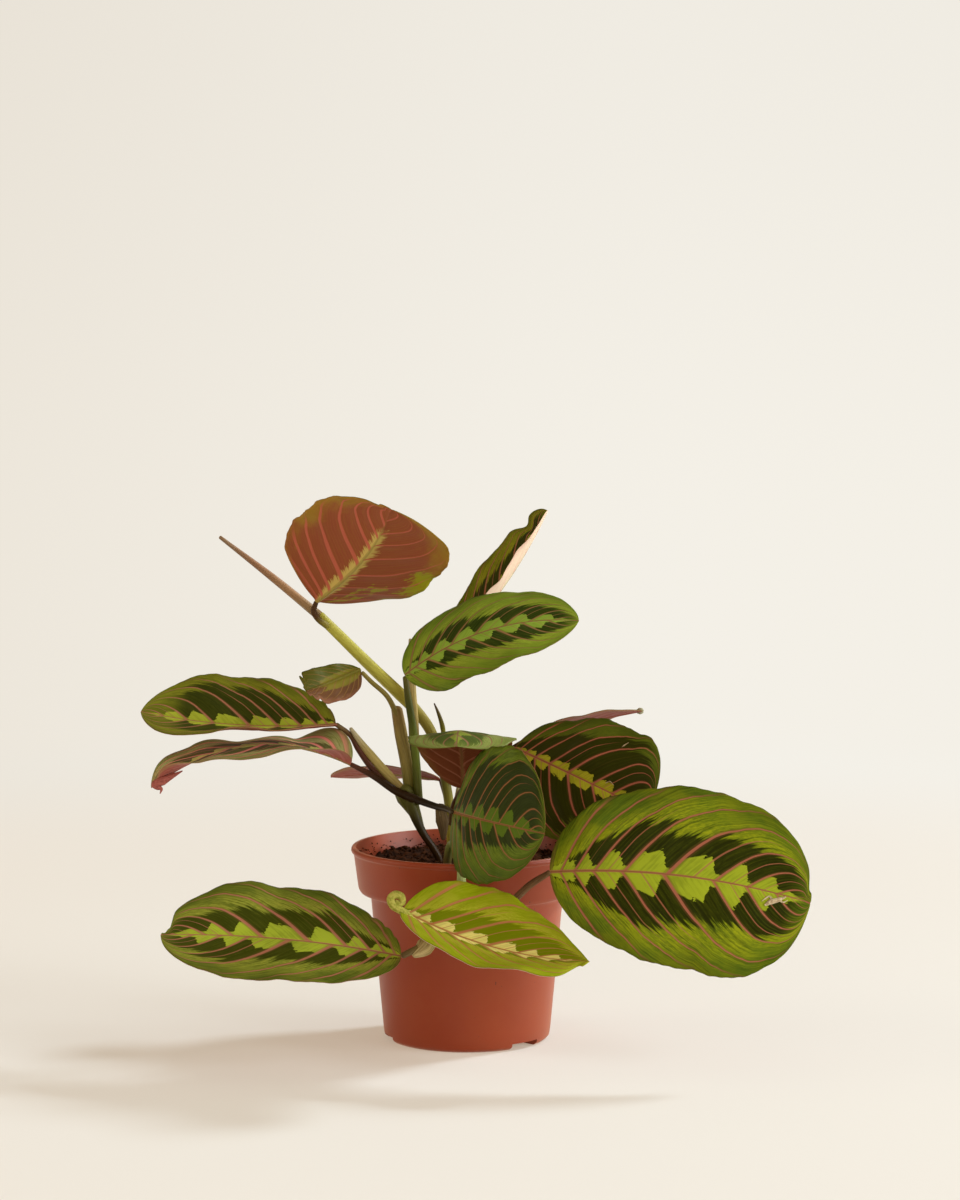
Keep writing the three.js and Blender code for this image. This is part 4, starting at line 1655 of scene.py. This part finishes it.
@dataclass(frozen=True)
class Soil:
    """The potting mix: a body that fills the pot, with crumbs on it and on the pot's inner wall.

    lump and mound are the heights of its lumps and of its raised side, heaped the direction, in
    radians, in which more of the crumbs cling to the wall, and crumb_rise how far up they do.
    """

    level: float = 89.0
    lump: float = 1.6
    mound: float = 2.6
    gap: float = 0.3
    rings: int = 44
    segments: int = 150
    crumbs: int = 1400
    crumb_rise: float = 8.5
    heaped: float = 2.3
    seed: int = 11
    crease: float = 70.0
    finish: SoilFinish = SoilFinish()

    def height(self, x: np.ndarray, y: np.ndarray, reach: np.ndarray) -> np.ndarray:
        """Lays out the soil's surface.

        Args:
            x: where a place lies, in millimetres.
            y: the same.
            reach: how far out it is, as a share of the way to the wall.

        Returns:
            How far each place stands over the soil's level.
        """
        swell = np.sin(x * 0.07 + 1.1) * np.cos(y * 0.09 - 0.4)
        lumps = np.sin(x * 0.31 + y * 0.17) * np.sin(y * 0.37 - x * 0.11 + 2.1)
        crumbs = np.sin(x * 0.93 - y * 0.51) * np.cos(y * 0.87 + x * 0.29)
        fine = 0.2 * np.sin(x * 2.3 + 1.3 * np.sin(y * 1.7)) * np.sin(y * 2.6 + np.sin(x * 1.9))
        mound = 0.5 + 0.5 * np.tanh((y - 0.4 * x) / 18)
        uneven = self.lump * (0.7 * swell + 0.6 * lumps + 0.35 * crumbs + fine) + self.mound * mound
        return uneven * np.minimum(1, 0.35 + 9 * (1 - reach))

    def edge(self, pot: Pot) -> float:
        """Finds the radius of the soil at its level.

        Args:
            pot: the pot that it fills.

        Returns:
            The radius in millimetres.
        """
        radii, heights = zip(*pot.inside(self.gap)[:-1])
        return float(np.interp(self.level, heights, radii))

    def build(self, pot: Pot) -> bpy.types.Object:
        """Builds the soil's body and crumbs as one piece.

        Args:
            pot: the pot that it fills.

        Returns:
            The piece.
        """
        edge = self.edge(pot)
        below = [p for p in pot.inside(self.gap) if p[1] < self.level]
        top = [(edge * (1 - i / self.rings), self.level) for i in range(self.rings)]
        soil = lathe("soil_body", [*below, *top, (0.0, self.level)], self.segments)
        places = np.empty(len(soil.data.vertices) * 3)
        soil.data.vertices.foreach_get("co", places)
        places = places.reshape(-1, 3) / MM
        x, y, z = places.T
        on_top = z > self.level - 0.01
        places[:, 2] += np.where(on_top, self.height(x, y, np.hypot(x, y) / edge), 0)
        soil.data.vertices.foreach_set("co", (places * MM).ravel())
        cut(soil, pot.roofs(self.gap))
        self.dress(soil, edge)
        return settle(soil, "soil", "soil")

    def dress(self, soil: bpy.types.Object, edge: float) -> None:
        """Strews the crumbs and gives the soil its finish.

        Args:
            soil: the piece.
            edge: the radius of the soil at its level.
        """
        mesh = bmesh.new()
        mesh.from_mesh(soil.data)
        random = np.random.default_rng(self.seed)
        for _ in range(self.crumbs):
            self.add_crumb(mesh, edge, random)
        mesh.to_mesh(soil.data)
        mesh.free()
        soil.data.materials.clear()
        soil.data.materials.append(self.finish.material("potting_mix"))
        sharpen(soil, self.crease)

    def add_crumb(self, mesh: bmesh.types.BMesh, edge: float, random: np.random.Generator) -> None:
        """Adds one crumb, on the surface or on the pot's wall.

        Args:
            mesh: the mesh to add it to.
            edge: the radius of the soil at its level.
            random: what draws its place, size and form.
        """
        angle = random.uniform(0, 2 * math.pi)
        size = random.uniform(0.35, 0.9) + 0.9 * random.random() ** 4
        on_wall = random.random() < 0.12 + 0.2 * (math.cos(angle - self.heaped) > 0.3)
        if on_wall:
            size = random.uniform(0.25, 0.6)
            rise = self.crumb_rise * random.random() ** 1.8
            radius = edge + 0.055 * rise - 0.2
            z = self.level + rise
        else:
            radius = edge * math.sqrt(random.random()) * 0.985
            x, y = radius * math.cos(angle), radius * math.sin(angle)
            z = self.level + float(self.height(np.array(x), np.array(y), radius / edge)) + 0.25 * size
        corners = bmesh.ops.create_icosphere(mesh, subdivisions=1, radius=1.0)["verts"]
        centre = Vector((radius * math.cos(angle), radius * math.sin(angle), z))
        stretch = random.uniform(0.6, 1.25, 3)
        turn = Euler(tuple(random.uniform(0, math.pi, 3))).to_matrix()
        for corner in corners:
            shape = Vector([c * s for c, s in zip(corner.co, stretch)]) * random.uniform(0.72, 1.18)
            corner.co = (centre + turn @ shape * size) * MM


# The plant


def flat(value: float) -> tuple[float, float, float]:
    """Returns the same angle at base, middle and tip."""
    return (value, value, value)


DRIED_GREEN = ScrapFinish((0.34, 0.33, 0.2), (0.3, 0.24, 0.15))
FRESH_ROLL = ScrapFinish((0.46, 0.42, 0.07), (0.26, 0.27, 0.02))
PINK_ROLL = ScrapFinish((0.36, 0.09, 0.065), (0.26, 0.06, 0.045))
FRAYED_BASE = ((0.035, 0.1, 0.007), (0.075, 0.08, 0.008), (0.13, 0.05, 0.01))

LEAVES = (
    Blade(
        "leaf_top", (-77.3, -0.6, 227.2), (-37, -78, 280), (0.47, 0.65, 0.59), 4, 5, 1.5,
        Half(39, 0.54, 0.46, (37, 22, 12), flat(0), ((0.87, -0.08, 0.1), (0.5, 0.04, 0.12))),
        Half(39, 0.35, 0.62, flat(6), flat(-6),
             ((0.965, 0.3, 0.016), (0.82, -0.05, 0.08), (0.1, -0.1, 0.05))),
        LeafFinish(VeinLayout(0.1, 0.45, 0.24, 0.5, 0.055, 0.34, 0.35, 5.4, right_width=0.12),
                   Upper.OLIVE, Under.RED, 1.0),
    ),
    Blade(
        "leaf_upper_right", (-7, 30, 202), (42, 36, 271.5), (-0.76, -0.17, 0.62), -4, 0, 1,
        Half(24, 0.46, 0.42, (26, 26, 20), flat(0), ((0.86, 0.42, 0.05),)),
        Half(17, 0.46, 0.7, (28, 28, 22)),
        LeafFinish(VeinLayout(0.3, 0.3), Upper.HALF_LIT, Under.CREAM, 2.0), quilt=0.0,
    ),
    Blade(
        "leaf_pale", (-32, -5, 189.5), (57, -20, 219), (-0.33, -0.55, 0.77), 6, 7, 1,
        Half(29, 0.4, 0.65, (0, 4, 4), (0, -10, -10)), Half(30, 0.4, 0.55, (-6, 4, 4), flat(-10)),
        LeafFinish(VeinLayout(0.1, 0.4, 0.24, 0.45, 0.055), Upper.PALE, Under.PINK, 3.0),
    ),
    Blade(
        "leaf_left", (-67.6, 0, 163.5), (-167.7, -5, 170.5), (0.07, -0.17, 0.97), -4, 0, 1,
        Half(32, 0.5, 0.6, (6, 4, -12), (20, 22, 0)),
        Half(35, 0.58, 0.7, (30, 30, 26), flat(0), FRAYED_BASE),
        LeafFinish(VeinLayout(0.0, 0.0, 0.19, 0.7, 0.065, dark_end=0.86), Upper.OLIVE, Under.PINK, 4.0),
    ),
    Blade(
        "leaf_torn", (-55, -8, 192.5), (-81, -38, 185), (-0.56, 0.62, -0.52), 2, 0, 1,
        Half(11, 0.8, 0.4, flat(10), flat(0), ((0.86, 0.3, 0.03), (0.97, 0.5, 0.03))),
        Half(11, 0.35, 0.6, flat(10), flat(0), ((0.8, 0.25, 0.04), (0.93, 0.4, 0.025))),
        LeafFinish(VeinLayout(0.2, 0.2), Upper.GREEN, Under.TORN, 5.0), quilt=0.25, rows=70, columns=48,
    ),
    Blade(
        "leaf_left_low", (-60, -5, 143.5), (-161, -25, 134), (0, -0.05, 0.99), 16, 0, 0.5,
        Half(23, 0.5, 0.85, (30, 8, -8, 6, 60), flat(0), ((0.985, 0.7, 0.035),)),
        Half(26, 0.5, 0.85, (82, 0, -5, 8, 50)),
        LeafFinish(VeinLayout(0.3, 0.6, 0.16, 0.5, 0.11), Upper.WILTED, Under.PINK, 6.0),
        scraps=(
            Scrap(
                ((-145, -25, 142.6), (-155, -26, 137.6), (-159, -26, 135.7), (-157.8, -26, 134.4),
                 (-155.8, -26, 133.4), (-156.4, -26, 131)),
                (0.3, 2.3, 1.9, 1.5, 0.8, 0.2), 0, PINK_ROLL, 0.7,
            ),
        ),
    ),
    Blade(
        "leaf_back", (-14, 30, 130.5), (-72, 42, 130), (0, 0.32, 0.95), 2, 0, 0.5,
        Half(18, 0.5, 0.6, flat(4)), Half(18, 0.5, 0.6, flat(4)),
        LeafFinish(VeinLayout(), Upper.OLIVE, Under.PINK, 7.0), quilt=0.3, rows=80, columns=56,
    ),
    Blade(
        "leaf_arching", (-2, -10, 131.6), (-5, -73.5, 161.7), (0, 0.37, 0.93), 18, 0, 1,
        Half(29, 0.72, 0.42, (0, -7, -12)), Half(26, 0.72, 0.48, (0, -7, -11)),
        LeafFinish(VeinLayout(0.2, 0.5), Upper.FADED, Under.MAROON, 8.0),
    ),
    Blade(
        "leaf_front", (-6.5, -50, 125.2), (38, -122, 125.6), (-0.87, -0.48, 0.22), 6, 0, 1,
        Half(38, 0.62, 0.65, flat(4), flat(-6), ((0.06, 0.3, 0.08),)),
        Half(31, 0.5, 0.6, flat(4), flat(-6)),
        LeafFinish(VeinLayout(0.0, 0.3, 0.2, 0.85, 0.05, right_dark_reach=0.42),
                   Upper.DULL, Under.MAROON, 9.0),
    ),
    Blade(
        "leaf_right", (24.7, -10, 152.4), (91, -60, 127), (-0.5, -0.75, 0.4), 6, 0, 1,
        Half(34, 0.78, 0.5, (-4, 5, 5), (-12, -8, -8), ((0.26, 0.09, 0.13),)),
        Half(34, 0.46, 0.55, flat(5), flat(-8)),
        LeafFinish(VeinLayout(0.0, 0.0, 0.135, 0.78, 0.062), Upper.DEEP, Under.ROSE, 10.0),
        scraps=(
            Scrap(((0.69, 0.69), (0.7, 0.74), (0.715, 0.8)), (0.12, 0.32, 0.12), 0.5),
            Scrap(((0.7, 0.1), (0.72, 0.15), (0.75, 0.13)), (0.12, 0.3, 0.12), 0.5),
        ),
    ),
    Blade(
        "leaf_big", (41.6, -75, 98.9), (170, -90, 86), (0, -0.95, 0.3), 6, 5, 1,
        Half(44, 0.54, 0.56, flat(6), flat(-6), ((0.985, 0.4, 0.012),)),
        Half(47, 0.68, 0.42, flat(6), flat(-6)),
        LeafFinish(VeinLayout(0.0, 0.08, 0.25, 0.53, 0.052), Upper.GREEN, Under.ROSE, 11.0),
        quilt=0.6, rows=150, columns=100, scraps=(
            Scrap(((0.835, -0.17), (0.855, -0.12), (0.88, -0.08), (0.905, -0.02)), (0.5, 1.3, 1.1, 0.4)),
            Scrap(((0.86, -0.1), (0.845, -0.06), (0.82, -0.13)), (0.6, 0.5, 0.15)),
            Scrap(((0.88, -0.07), (0.9, -0.1), (0.915, -0.06)), (0.6, 0.4, 0.15)),
        ),
    ),
    Blade(
        "leaf_low_left", (-32.6, -78, 57), (-151.5, -85, 69), (0.1, -0.44, 0.9), 4, 0, 1,
        Half(36, 0.6, 0.56, flat(2)),
        Half(36, 0.6, 0.64, flat(12), flat(0), (*FRAYED_BASE, (0.963, 0.35, 0.008), (0.985, 0.85, 0.02))),
        LeafFinish(VeinLayout(0.0, 0.4, 0.27, 0.57, 0.072), Upper.LOW, Under.PINK, 12.0),
        quilt=0.5, rows=130, columns=88,
    ),
    Blade(
        "leaf_young", (-32, -76, 79.7), (60, -118, 62), (0, -0.36, 0.93), -7, 0, 1,
        Half(29, 0.34, 1, (40, 37, 30)),
        Half(28, 0.72, 0.42, (16, 12, 20), (0, 0, 0, 0, -30), ((0.975, 0.62, 0.022),)),
        LeafFinish(VeinLayout(0.1, 0.3, 0.17, 0.5, 0.075, 0.58, 0.3, right_dark_reach=0.2),
                   Upper.YOUNG, Under.CREAM, 13.0),
        slot="young_leaf",
        scraps=(
            Scrap(
                ((-25.6, -77, 75.3), (-31.6, -78, 79.4), (-36.6, -78.5, 82.8), (-37.6, -78.5, 86.2),
                 (-35.1, -78, 88), (-32.3, -77.5, 86.8), (-31.9, -77.5, 84), (-33.6, -78, 83.2),
                 (-35, -78, 84.6)),
                (1.2, 2, 2, 1.9, 1.9, 1.8, 1.6, 1.4, 1.2), 0, FRESH_ROLL, 0.9,
            ),
        ),
    ),
    Blade(
        "leaf_behind", (32.7, 10, 155.4), (91, 10, 169), (0, 0.24, 0.96), 1, 0, 0.5,
        Half(22, 0.4, 0.8, flat(4)), Half(22, 0.4, 0.8, flat(4)),
        LeafFinish(VeinLayout(), Upper.OLIVE, Under.ROSE, 14.0), quilt=0.3, rows=80, columns=56,
        scraps=(Scrap(((0.95, 0.0), (0.975, 0.0), (0.995, 0.0)), (0.9, 1.7, 1.5), 0.2, DRIED_GREEN),),
    ),
)

DARK = (0.028, 0.012, 0.002)
BROWN_SHEATH = (0.3, 0.21, 0.07)
PALE_SHEATH = (0.4, 0.31, 0.09)
CREAM_TIP = (0.46, 0.4, 0.24)
GREEN_STALK = (0.055, 0.065, 0.008)
RED_STALK = (0.085, 0.026, 0.012)
YELLOW_GREEN = (0.45, 0.42, 0.065)
BROWN_STALK = (0.14, 0.085, 0.03)

STEMS = (
    Stem("stem_left", "stem", (
        Stalk(((-14, 4, 72), (-14, 4, 82), (-14.5, 4, 92), (-18, 3, 99), (-22, 2, 105), (-26, 1, 113),
               (-30, 0, 124)),
              (2, 2, 2, 2, 2, 2.4, 3),
              (DARK, DARK, DARK, DARK, (0.03, 0.022, 0.007), (0.08, 0.075, 0.012))),
        Stalk(((-24, 1, 110), (-27, 1, 117), (-31, 0, 125), (-33, -1, 129)), (1.8, 3.2, 5.2, 4.6),
              ((0.05, 0.045, 0.01), (0.09, 0.088, 0.015), (0.12, 0.12, 0.02)), Kind.SHEATH, 0.55),
        Stalk(((-29.5, 2, 122), (-31, 2, 140), (-34, 2, 158), (-36.2, 1, 171)), (2.6, 3, 3.2, 2.8),
              ((0.17, 0.16, 0.022), (0.25, 0.19, 0.05), (0.22, 0.14, 0.04)), Kind.SHEATH, 0.7),
        Stalk(((-36, 1, 168), (-41, -2, 178), (-49, -6, 186), (-53.6, -7.6, 190.9)),
              (1.6, 1.3, 1.2, 1.1), ((0.2, 0.15, 0.035), (0.22, 0.17, 0.03))),
        Stalk(((-25, 0, 122), (-26.3, -1, 145), (-27.8, -3, 161), (-30, -4.5, 176), (-31.6, -5, 188.2)),
              (2.4, 2.1, 2, 1.9, 1.4),
              ((0.07, 0.07, 0.01), (0.1, 0.125, 0.012), GREEN_STALK, (0.1, 0.09, 0.016))),
        Stalk(((-28, 4, 122), (-27, 5, 140), (-27.5, 6, 160), (-29, 9, 182), (-29.5, 14, 206)),
              (2.2, 2.4, 2.6, 2.6, 0.7), (GREEN_STALK, (0.1, 0.08, 0.015), PALE_SHEATH, CREAM_TIP),
              Kind.SHEATH, 0.7),
        Stalk(((-28.5, 9, 184), (-19, 20, 194), (-7.3, 29.6, 201.5)), (1.8, 1.4, 1.2),
              (BROWN_STALK, GREEN_STALK)),
        Stalk(((-32, -1, 127), (-42, 0, 137.5), (-50, 1, 147), (-60, 1, 161)), (3, 3, 2.6, 0.9),
              (BROWN_SHEATH, PALE_SHEATH, PALE_SHEATH, CREAM_TIP), Kind.SHEATH, 0.7),
        Stalk(((-36, -3, 128.5), (-45, -3, 136), (-56, 1, 150), (-60, 2.5, 157), (-67.2, 0.1, 163.1)),
              (1.9, 1.8, 1.5, 1.4, 1.2), (DARK, RED_STALK, (0.13, 0.08, 0.025))),
        Stalk(((-27, -4, 125), (-36, -5, 129), (-48, -5, 137), (-59.6, -5, 143.1)), (2.2, 2.1, 1.7, 1.2),
              (DARK, DARK, RED_STALK)),
        Stalk(((-34, -4, 128), (-24, -8, 124.6), (-16, -16, 123), (-11, -30, 124), (-6.8, -49.6, 125.1)),
              (2.1, 1.9, 1.7, 1.5, 1.2), (DARK, (0.022, 0.015, 0.006), (0.05, 0.035, 0.012))),
        Stalk(((-14, -17, 124), (-12.5, -20, 116), (-12, -21, 107)), (2.2, 3.4, 1.2),
              ((0.12, 0.08, 0.03), (0.08, 0.05, 0.018)), Kind.PAPERY, 0.5),
    )),
    Stem("stem_tall", "stem", (
        Stalk(((-8, 10, 72), (-8, 10, 82), (-8, 10, 92), (-8.5, 9, 108), (-9.8, 9, 124), (-14, 11, 145),
               (-19.5, 14, 159), (-27, 15, 169), (-35, 14, 177.5), (-52.5, 10, 195), (-76, 5, 219)),
              (2.4, 2.4, 2.4, 2.4, 2.5, 2.6, 2.8, 3, 3.3, 3, 2.6),
              (DARK, (0.08, 0.06, 0.015), (0.34, 0.3, 0.04), (0.32, 0.29, 0.04), (0.12, 0.11, 0.014),
               (0.19, 0.16, 0.022), (0.27, 0.23, 0.04), (0.38, 0.34, 0.05), YELLOW_GREEN, YELLOW_GREEN)),
        Stalk(((-72, 3, 214), (-76.5, -0.2, 218), (-78.8, -1, 222), (-77.5, -0.7, 226.7)),
              (1.7, 1.6, 1.5, 1.2), ((0.26, 0.22, 0.035), (0.08, 0.035, 0.01), (0.07, 0.035, 0.01))),
        Stalk(((-13.5, 10, 145), (-12, 4, 154), (-12.6, 0, 162), (-14.6, -2, 169), (-16.8, -3, 174.5)),
              (1.3, 1.1, 1.3, 0.9, 0.35),
              ((0.2, 0.2, 0.03), (0.2, 0.19, 0.02), (0.1, 0.08, 0.015), (0.07, 0.04, 0.015))),
        Stalk(((-7.5, 8, 112), (-5.8, 3, 122), (-4.6, 0, 130), (-4.2, -1, 134)), (1, 1.2, 0.9, 0.35),
              (BROWN_STALK, (0.3, 0.26, 0.1), CREAM_TIP), Kind.SHEATH),
        Stalk(((-8.6, 8, 110), (-7, 1, 121), (-2.2, -9.7, 131.4)), (1.5, 1.3, 1.2),
              (BROWN_STALK, RED_STALK)),
        Stalk(((-8.6, 9, 108), (0, 9, 124), (14, 3, 142), (24.1, -9.5, 151.9)), (1.6, 1.5, 1.4, 1.2),
              (BROWN_STALK, GREEN_STALK, RED_STALK)),
        Stalk(((-8.6, 10, 106), (5, 14, 128), (20, 14, 146), (32.1, 10.2, 154.9)), (1.6, 1.5, 1.4, 1.2),
              (BROWN_STALK, GREEN_STALK, RED_STALK)),
        Stalk(((-8.4, 10, 102), (-10, 20, 118), (-13.8, 29.7, 130.2)), (1.6, 1.4, 1.2),
              (BROWN_STALK, RED_STALK)),
    )),
    Stem("stem_trailing", "stem", (
        Stalk(((-10, -22, 72), (-10, -22, 81), (-10, -22, 90), (-10, -22.3, 94), (-8.5, -31, 104.5),
               (-6, -43, 108), (-4, -54, 106), (-3, -61, 102.5), (-2.6, -63.5, 97), (-3, -63.5, 89),
               (-6, -64, 80), (-14, -67, 69.5), (-21, -71.5, 62), (-31.6, -77.4, 57.2)),
              (2.2, 2.2, 2.2, 2.2, 2.2, 2.2, 2.2, 2.2, 2.2, 2.4, 2.2, 2, 1.8, 1.6),
              (DARK, DARK, BROWN_STALK, (0.2, 0.25, 0.06), (0.26, 0.34, 0.1), (0.3, 0.4, 0.15),
               (0.3, 0.37, 0.13), (0.26, 0.27, 0.07), (0.25, 0.2, 0.05), (0.12, 0.08, 0.03))),
        Stalk(((-5, -63.8, 82), (-10, -65.5, 74.5), (-14.5, -67.3, 68.6), (-21, -71.8, 60.6),
               (-26, -74.8, 57.4)),
              (1.8, 2.8, 3.4, 4.2, 1.9),
              ((0.24, 0.18, 0.03), (0.26, 0.2, 0.05), (0.48, 0.38, 0.17)), Kind.PAPERY),
        Stalk(((-3.4, -63.5, 87), (4, -64.5, 80), (13, -66, 79), (22, -68, 82.5), (32, -71.5, 92),
               (41, -74.8, 98.4)),
              (1.8, 1.8, 1.8, 1.8, 1.7, 1.4),
              ((0.25, 0.2, 0.06), (0.2, 0.12, 0.055), (0.15, 0.08, 0.03)), Kind.PAPERY),
        Stalk(((-5, -63.5, 83), (-18, -65.5, 77), (-30, -69, 76), (-33, -75, 79)), (1.8, 1.6, 1.4, 1.2),
              ((0.25, 0.22, 0.06), (0.28, 0.26, 0.05))),
    )),
    Stem("leaf_rolled", "rolled_leaf", (
        Stalk(((-76.4, 5, 219.4), (-100, 4, 239), (-126.8, 2, 260)), (2.4, 1.9, 0.9),
              ((0.3, 0.2, 0.09), (0.34, 0.19, 0.09), (0.27, 0.14, 0.07), (0.24, 0.15, 0.08)), Kind.ROLL),
    ), StalkFinish(0.36)),
)


# Floor, light, camera


@dataclass(frozen=True)
class Lamp:
    """A square area light that faces the plant: its place and size in metres, and its power in watts."""

    name: str
    place: Point
    size: float
    power: float
    colour: Colour

    AIM = (0.0, -0.02, 0.12)

    def build(self) -> None:
        """Makes the lamp."""
        data = bpy.data.lights.new(self.name, "AREA")
        data.size = self.size
        data.energy = self.power
        data.color = self.colour
        light = link(self.name, data)
        light.location = self.place
        way = Vector(self.AIM) - Vector(self.place)
        light.rotation_euler = way.to_track_quat("-Z", "Y").to_euler()


@dataclass(frozen=True)
class Studio:
    """The floor, the soft light and the camera.

    The floor glows by floor_glow where the plant stands, in the colour glow_near, and fades into the
    backdrop farther out. The camera's place is in metres, its tilt in degrees and its lens in
    millimetres.
    """

    floor: Colour = (0.778, 0.84, 0.85)
    floor_radius: float = 60.0
    floor_glow: float = 0.4
    glow_near: Colour = (0.89, 0.72, 0.545)
    wall_left: Colour = (0.835, 0.78, 0.69)
    wall_right: Colour = (0.905, 0.871, 0.797)
    wall_foot: Colour = (0.3, 0.25, 0.2)
    surround: Colour = (1.0, 0.8, 0.6)
    camera: Point = (0.00675, -1.917, 0.410)
    tilt: float = 5.43
    lens: float = 112.29
    lamps: tuple[Lamp, ...] = (
        Lamp("key", (3.0, 1.85, 3.1), 0.7, 146.0, (0.95, 1.0, 1.05)),
        Lamp("front", (2.7, -2.4, 2.4), 1.2, 38.0, (0.96, 1.0, 1.03)),
        Lamp("side", (3.4, -1.1, 0.95), 1.3, 80.0, (0.98, 1.0, 1.0)),
        Lamp("low", (2.3, 0.1, 0.3), 0.6, 12.0, (1.0, 0.97, 0.92)),
        Lamp("left", (-2.1, -0.2, 0.7), 0.9, 12.0, (1.0, 0.82, 0.64)),
        Lamp("top", (0.1, 0.1, 2.6), 2.6, 4.0, (1.0, 0.82, 0.64)),
        Lamp("fill", (-0.6, -2.3, 0.6), 1.5, 13.0, (1.0, 0.84, 0.66)),
    )

    NEAREST = 0.02

    def build(self) -> None:
        """Makes the floor, the world, the lamps and the camera."""
        backdrop = self.backdrop()
        self.build_floor(backdrop)
        self.build_world(backdrop)
        for lamp in self.lamps:
            lamp.build()
        self.build_camera()

    def backdrop(self) -> Group:
        """Builds the group that colours the far backdrop, by how far a look turns right and up.

        Returns:
            The finished group.
        """
        group = Group("backdrop", {"turn": 0.0, "rise": 0.0}, {"colour": tuple})
        turn, rise = group.all_given("turn", "rise")
        across = group.mix(turn.step(-0.2, 0.07), self.wall_left, self.wall_right)
        group.hand(colour=group.mix(rise.step(-0.09, 0.08) * 0.055, across, self.wall_foot))
        return group

    def build_floor(self, backdrop: Group) -> None:
        """Makes a wide floor that fades into the backdrop.

        Args:
            backdrop: the group that colours the backdrop.
        """
        material, tree, shader = new_material("studio_floor")
        set_shader(shader, Base_Color=(*self.floor, 1.0), Roughness=0.6, Specular_IOR_Level=0.15)
        x, y, _ = tree.parts(tree.place_on_object())
        distance = (x * x + y * y).math("SQRT")
        depth = y - self.camera[1]
        ahead = (x * x + depth * depth).math("SQRT").math("MAXIMUM", self.NEAREST)
        down = tree.math("DIVIDE", -self.camera[2], ahead)
        far = backdrop.place(tree, turn=x.math("DIVIDE", ahead), rise=down)
        # Near the plant the floor's glow in the warm glow_near is a painted fill light that lifts and warms
        # the shadows there; farther out it is the plain backdrop.
        shine = tree.mix(distance.step(0.3, 1.1), self.glow_near, far["colour"])
        glow = tree.node("ShaderNodeEmission", {"Color": shine, "Strength": 1.0})
        share = self.floor_glow + distance.step(0.25, 1.3) * (1.0 - self.floor_glow)
        mixed = tree.node("ShaderNodeMixShader", {0: share, 1: shader.outputs[0], 2: glow.outputs[0]})
        tree.put(material.node_tree.nodes["Material Output"].inputs["Surface"], mixed.outputs[0])
        mesh = bmesh.new()
        bmesh.ops.create_circle(mesh, cap_ends=True, radius=self.floor_radius, segments=96)
        data = bpy.data.meshes.new("studio_floor")
        mesh.to_mesh(data)
        mesh.free()
        data.materials.append(material)
        link("studio_floor", data)

    def build_world(self, backdrop: Group) -> None:
        """Makes a plain pale surrounding that also fills the shadows.

        Args:
            backdrop: the group that colours the backdrop.
        """
        world = bpy.data.worlds.new("studio")
        world.use_nodes = True
        tree = Tree(world.node_tree)
        background = world.node_tree.nodes["Background"]
        x, y, z = tree.parts(tree.node("ShaderNodeTexCoord").outputs["Generated"])
        ahead = (x * x + y * y).math("SQRT").math("MAXIMUM", self.NEAREST)
        far = backdrop.place(tree, turn=x.math("DIVIDE", ahead), rise=z.math("DIVIDE", ahead))
        seen = tree.node("ShaderNodeLightPath").outputs["Is Camera Ray"]
        tree.put(background.inputs["Color"], tree.mix(seen, self.surround, far["colour"]))
        overhead = z.step(-0.3, 0.9) * (0.6 + y.step(-1.0, 0.6) * 0.4)
        strength = 0.1 + overhead * 0.3 + x.step(0.55, 1.0) * 0.3
        tree.put(background.inputs["Strength"], tree.blend(seen, strength, 1.0))
        bpy.context.scene.world = world

    def build_camera(self) -> None:
        """Makes the camera at the photograph's angle."""
        data = bpy.data.cameras.new("camera")
        data.lens = self.lens
        camera = link("camera", data)
        camera.location = self.camera
        camera.rotation_euler = (math.radians(90 - self.tilt), 0, 0)
        bpy.context.scene.camera = camera


def main() -> None:
    """Builds every piece."""
    bpy.context.scene.view_settings.view_transform = "Standard"
    groups = Groups.build()
    Studio().build()
    pot = Pot()
    pot.build(groups)
    Soil().build(pot)
    for stem in STEMS:
        stem.build(groups)
    for blade in LEAVES:
        blade.build(groups)


if __name__ == "__main__":
    main()
